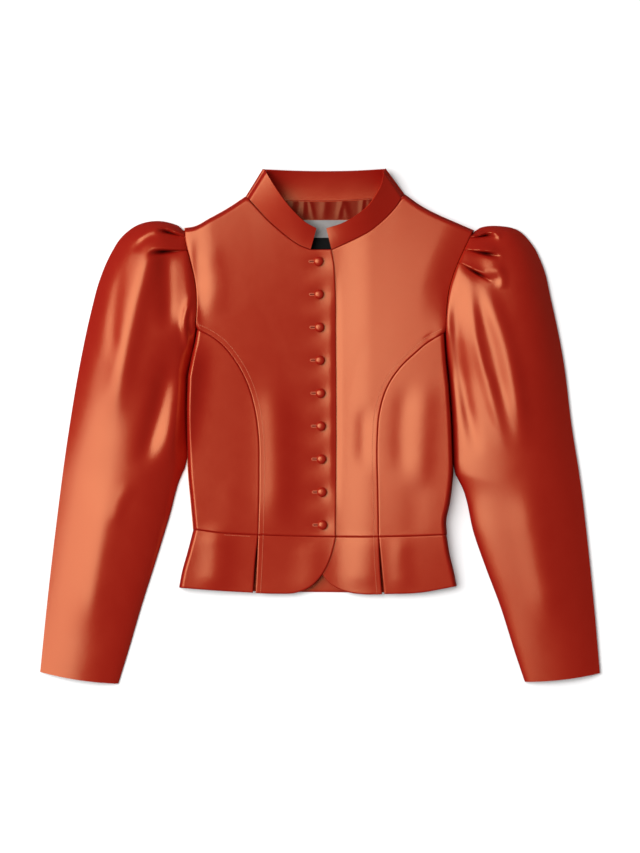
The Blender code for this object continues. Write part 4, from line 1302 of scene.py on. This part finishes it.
class JACKET_OT_buttons(bpy.types.Operator):
    """Sets the covered buttons on their places down the lap"""

    bl_idname = "jacket.buttons"
    bl_label = "Covered Buttons"

    def execute(self, context):
        names = [f"button_{number + 1}" for number in range(BUTTON_COUNT)]
        boxes = [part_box(name) for name in names]
        points = [((low.x + high.x) / 2, (low.y + high.y) / 2, low.z) for low, high in boxes]
        spots = bpy.data.meshes.new("button_spots")
        spots.from_pydata(points, [], [])
        dome = bpy.data.objects.new("button_dome", button_mesh())
        context.scene.collection.objects.link(dome)
        cover = satin_look(context.scene.jacket_colours, "button_satin", False)
        values = {"Button": dome, "Most turn": BUTTON_TURN, "Seed": BUTTON_SEED, "Cover": cover}
        mesh = grown("buttons", spots, button_tree(), values)
        bpy.data.objects.remove(dome)
        piece("covered_buttons", mesh, cover, names)
        return {"FINISHED"}


class JACKET_OT_buttonholes(bpy.types.Operator):
    """Sews the buttonholes that show beside the buttons"""

    bl_idname = "jacket.buttonholes"
    bl_label = "Buttonholes"

    def execute(self, context):
        def height(points):
            return cloth_height(points, "right", context.scene.jacket_cloth.crease_depth)

        loops, strips = [], []
        turn = math.pi * (0.5 + even(HOLE_END_CELLS))
        for x, y, _ in BUTTON_SPOTS:
            start, end = x - HOLE_REACH, x - HOLE_END
            round_end = np.stack([start + HOLE_HALF * np.cos(turn), y + HOLE_HALF * np.sin(turn)], axis=1)
            plan = np.concatenate([[[end, y + HOLE_HALF]], round_end, [[end, y - HOLE_HALF]]])
            plan = along(plan, even(HOLE_STEPS))
            loops.append(lifted(plan, height(plan) + HOLE_LIFT))
            across, up = np.meshgrid(start + (end - start) * even(HOLE_SLIT_CELLS),
                                     y + HOLE_SLIT_HALF * np.array([-1, 0, 1]))
            flat = np.stack([across, up], axis=2)
            level = over_grid(flat, height)
            strips.append((raised(flat, level + HOLE_SLIT_TOP), raised(flat, level + HOLE_SLIT_LOW)))
        sewn("buttonhole_thread", context.scene, loops, HOLE_STITCH)
        # Each buttonhole's cut is a thin strip of painted shadow
        dark = slit_shadow_look(context.scene.jacket_colours)
        for number, (top, bottom) in enumerate(strips):
            piece(f"buttonhole_slit_{number + 1}", closed_mesh("slit_shadow", top, bottom), dark)
        return {"FINISHED"}


class JACKET_OT_topstitching(bpy.types.Operator):
    """Sews the topstitching beside the princess seams and slits, and the tacks at the waist"""

    bl_idname = "jacket.topstitching"
    bl_label = "Topstitching"

    def execute(self, context):
        cloth = context.scene.jacket_cloth
        paths = []
        for side in ("right", "left"):
            line = LINES[side]
            seams = ((line["princess"], MID_FRONT), (line["slit_front"][::-1], MID_PEPLUM))
            for seam, toward in seams:
                beside = moved_in(seam, cloth.topstitch_inset / METRE, toward)
                paths.append((side, along(beside, STITCH_FROM + STITCH_RUN * even(STITCH_STEPS))))
        beside = moved_in(LINES["right"]["waist_side"], TACK_INSET, SIDE_PEPLUM)
        paths.append(("right", along(beside, TACKS_FROM + TACKS_RUN * even(TACK_STEPS))))
        paths = [lifted(plan, cloth_height(plan, side, cloth.crease_depth) + STITCH_LIFT)
                 for side, plan in paths]
        sewn("topstitching", context.scene, paths, {
            "Pitch": cloth.stitch_pitch, "Across": cloth.thread_width,
            "Height": THREAD_FLAT * cloth.thread_width, "Along": cloth.stitch_length})
        return {"FINISHED"}


class JACKET_OT_stage(bpy.types.Operator):
    """Lays the floor and sets the lights and the camera over it"""

    bl_idname = "jacket.stage"
    bl_label = "Stage"

    camera_height: length_property("Camera height", "Height of the camera over the floor", 6.0)
    framed: length_property("Framed length", "Length of floor that the picture's height shows", 1.0918)

    def execute(self, context):
        scene = context.scene
        mesh = bpy.data.meshes.new("floor")
        corners = ((-1, -1), (1, -1), (1, 1), (-1, 1))
        points = [(x * FLOOR_REACH, y * FLOOR_REACH, FLOOR_LEVEL) for x, y in corners]
        mesh.from_pydata(points, [], [(0, 1, 2, 3)])
        mesh.materials.append(floor_look(scene.jacket_colours))
        floor = bpy.data.objects.new("floor", mesh)
        scene.collection.objects.link(floor)
        floor.visible_glossy = False
        for number, (across, up, power) in enumerate(KEY_BOXES):
            self.light(f"key_{number + 1}", KEY_PLACE, (across, up), power)
        world = bpy.data.worlds.new("studio")
        world.use_nodes = True
        sky = world.node_tree.nodes["Background"].inputs
        sky["Color"].default_value = (1.0, 1.0, 1.0, 1.0)
        sky["Strength"].default_value = WORLD_LIGHT
        world.cycles_visibility.glossy = False
        scene.world = world
        scene.view_settings.view_transform = "Standard"
        lens = bpy.data.cameras.new("camera")
        lens.sensor_fit = "VERTICAL"
        lens.sensor_height = FILM_HEIGHT
        lens.lens = lens.sensor_height * self.camera_height / self.framed
        lens.clip_end = FAR_CLIP
        camera = bpy.data.objects.new("camera", lens)
        camera.location = (0.0, 0.0, self.camera_height)
        scene.collection.objects.link(camera)
        scene.camera = camera
        return {"FINISHED"}

    def light(self, name, place, size, power):
        """A soft box at a place, turned to the middle of the floor."""
        lamp = bpy.data.lights.new(name, "AREA")
        lamp.shape = "RECTANGLE"
        lamp.size, lamp.size_y = size
        lamp.energy = power
        made = bpy.data.objects.new(name, lamp)
        made.location = place
        made.rotation_euler = made.location.to_track_quat("Z", "Y").to_euler()
        made.visible_camera = False
        bpy.context.scene.collection.objects.link(made)


class JACKET_PT_sidebar(bpy.types.Panel):
    """Lists the jacket's pieces and sizes in the sidebar"""

    bl_idname = "JACKET_PT_sidebar"
    bl_label = "Satin Jacket"
    bl_space_type = "VIEW_3D"
    bl_region_type = "UI"
    bl_category = "Jacket"

    def draw(self, context):
        for group in (context.scene.jacket_cloth, context.scene.jacket_colours):
            for name in group.__annotations__:
                self.layout.prop(group, name)
        for operator in OPERATORS:
            self.layout.operator(operator.bl_idname)


OPERATORS = (JACKET_OT_panels, JACKET_OT_back, JACKET_OT_sleeves, JACKET_OT_collar, JACKET_OT_neck_inside,
             JACKET_OT_buttons, JACKET_OT_buttonholes, JACKET_OT_topstitching, JACKET_OT_stage)
CLASSES = (JacketCloth, JacketColours) + OPERATORS + (JACKET_PT_sidebar,)


def register():
    for kind in CLASSES:
        bpy.utils.register_class(kind)
    bpy.types.Scene.jacket_cloth = bpy.props.PointerProperty(type=JacketCloth)
    bpy.types.Scene.jacket_colours = bpy.props.PointerProperty(type=JacketColours)


def unregister():
    del bpy.types.Scene.jacket_colours
    del bpy.types.Scene.jacket_cloth
    for kind in reversed(CLASSES):
        bpy.utils.unregister_class(kind)


def main():
    register()
    for operator in OPERATORS:
        group, name = operator.bl_idname.split(".")
        getattr(getattr(bpy.ops, group), name)()


if __name__ == "__main__":
    main()
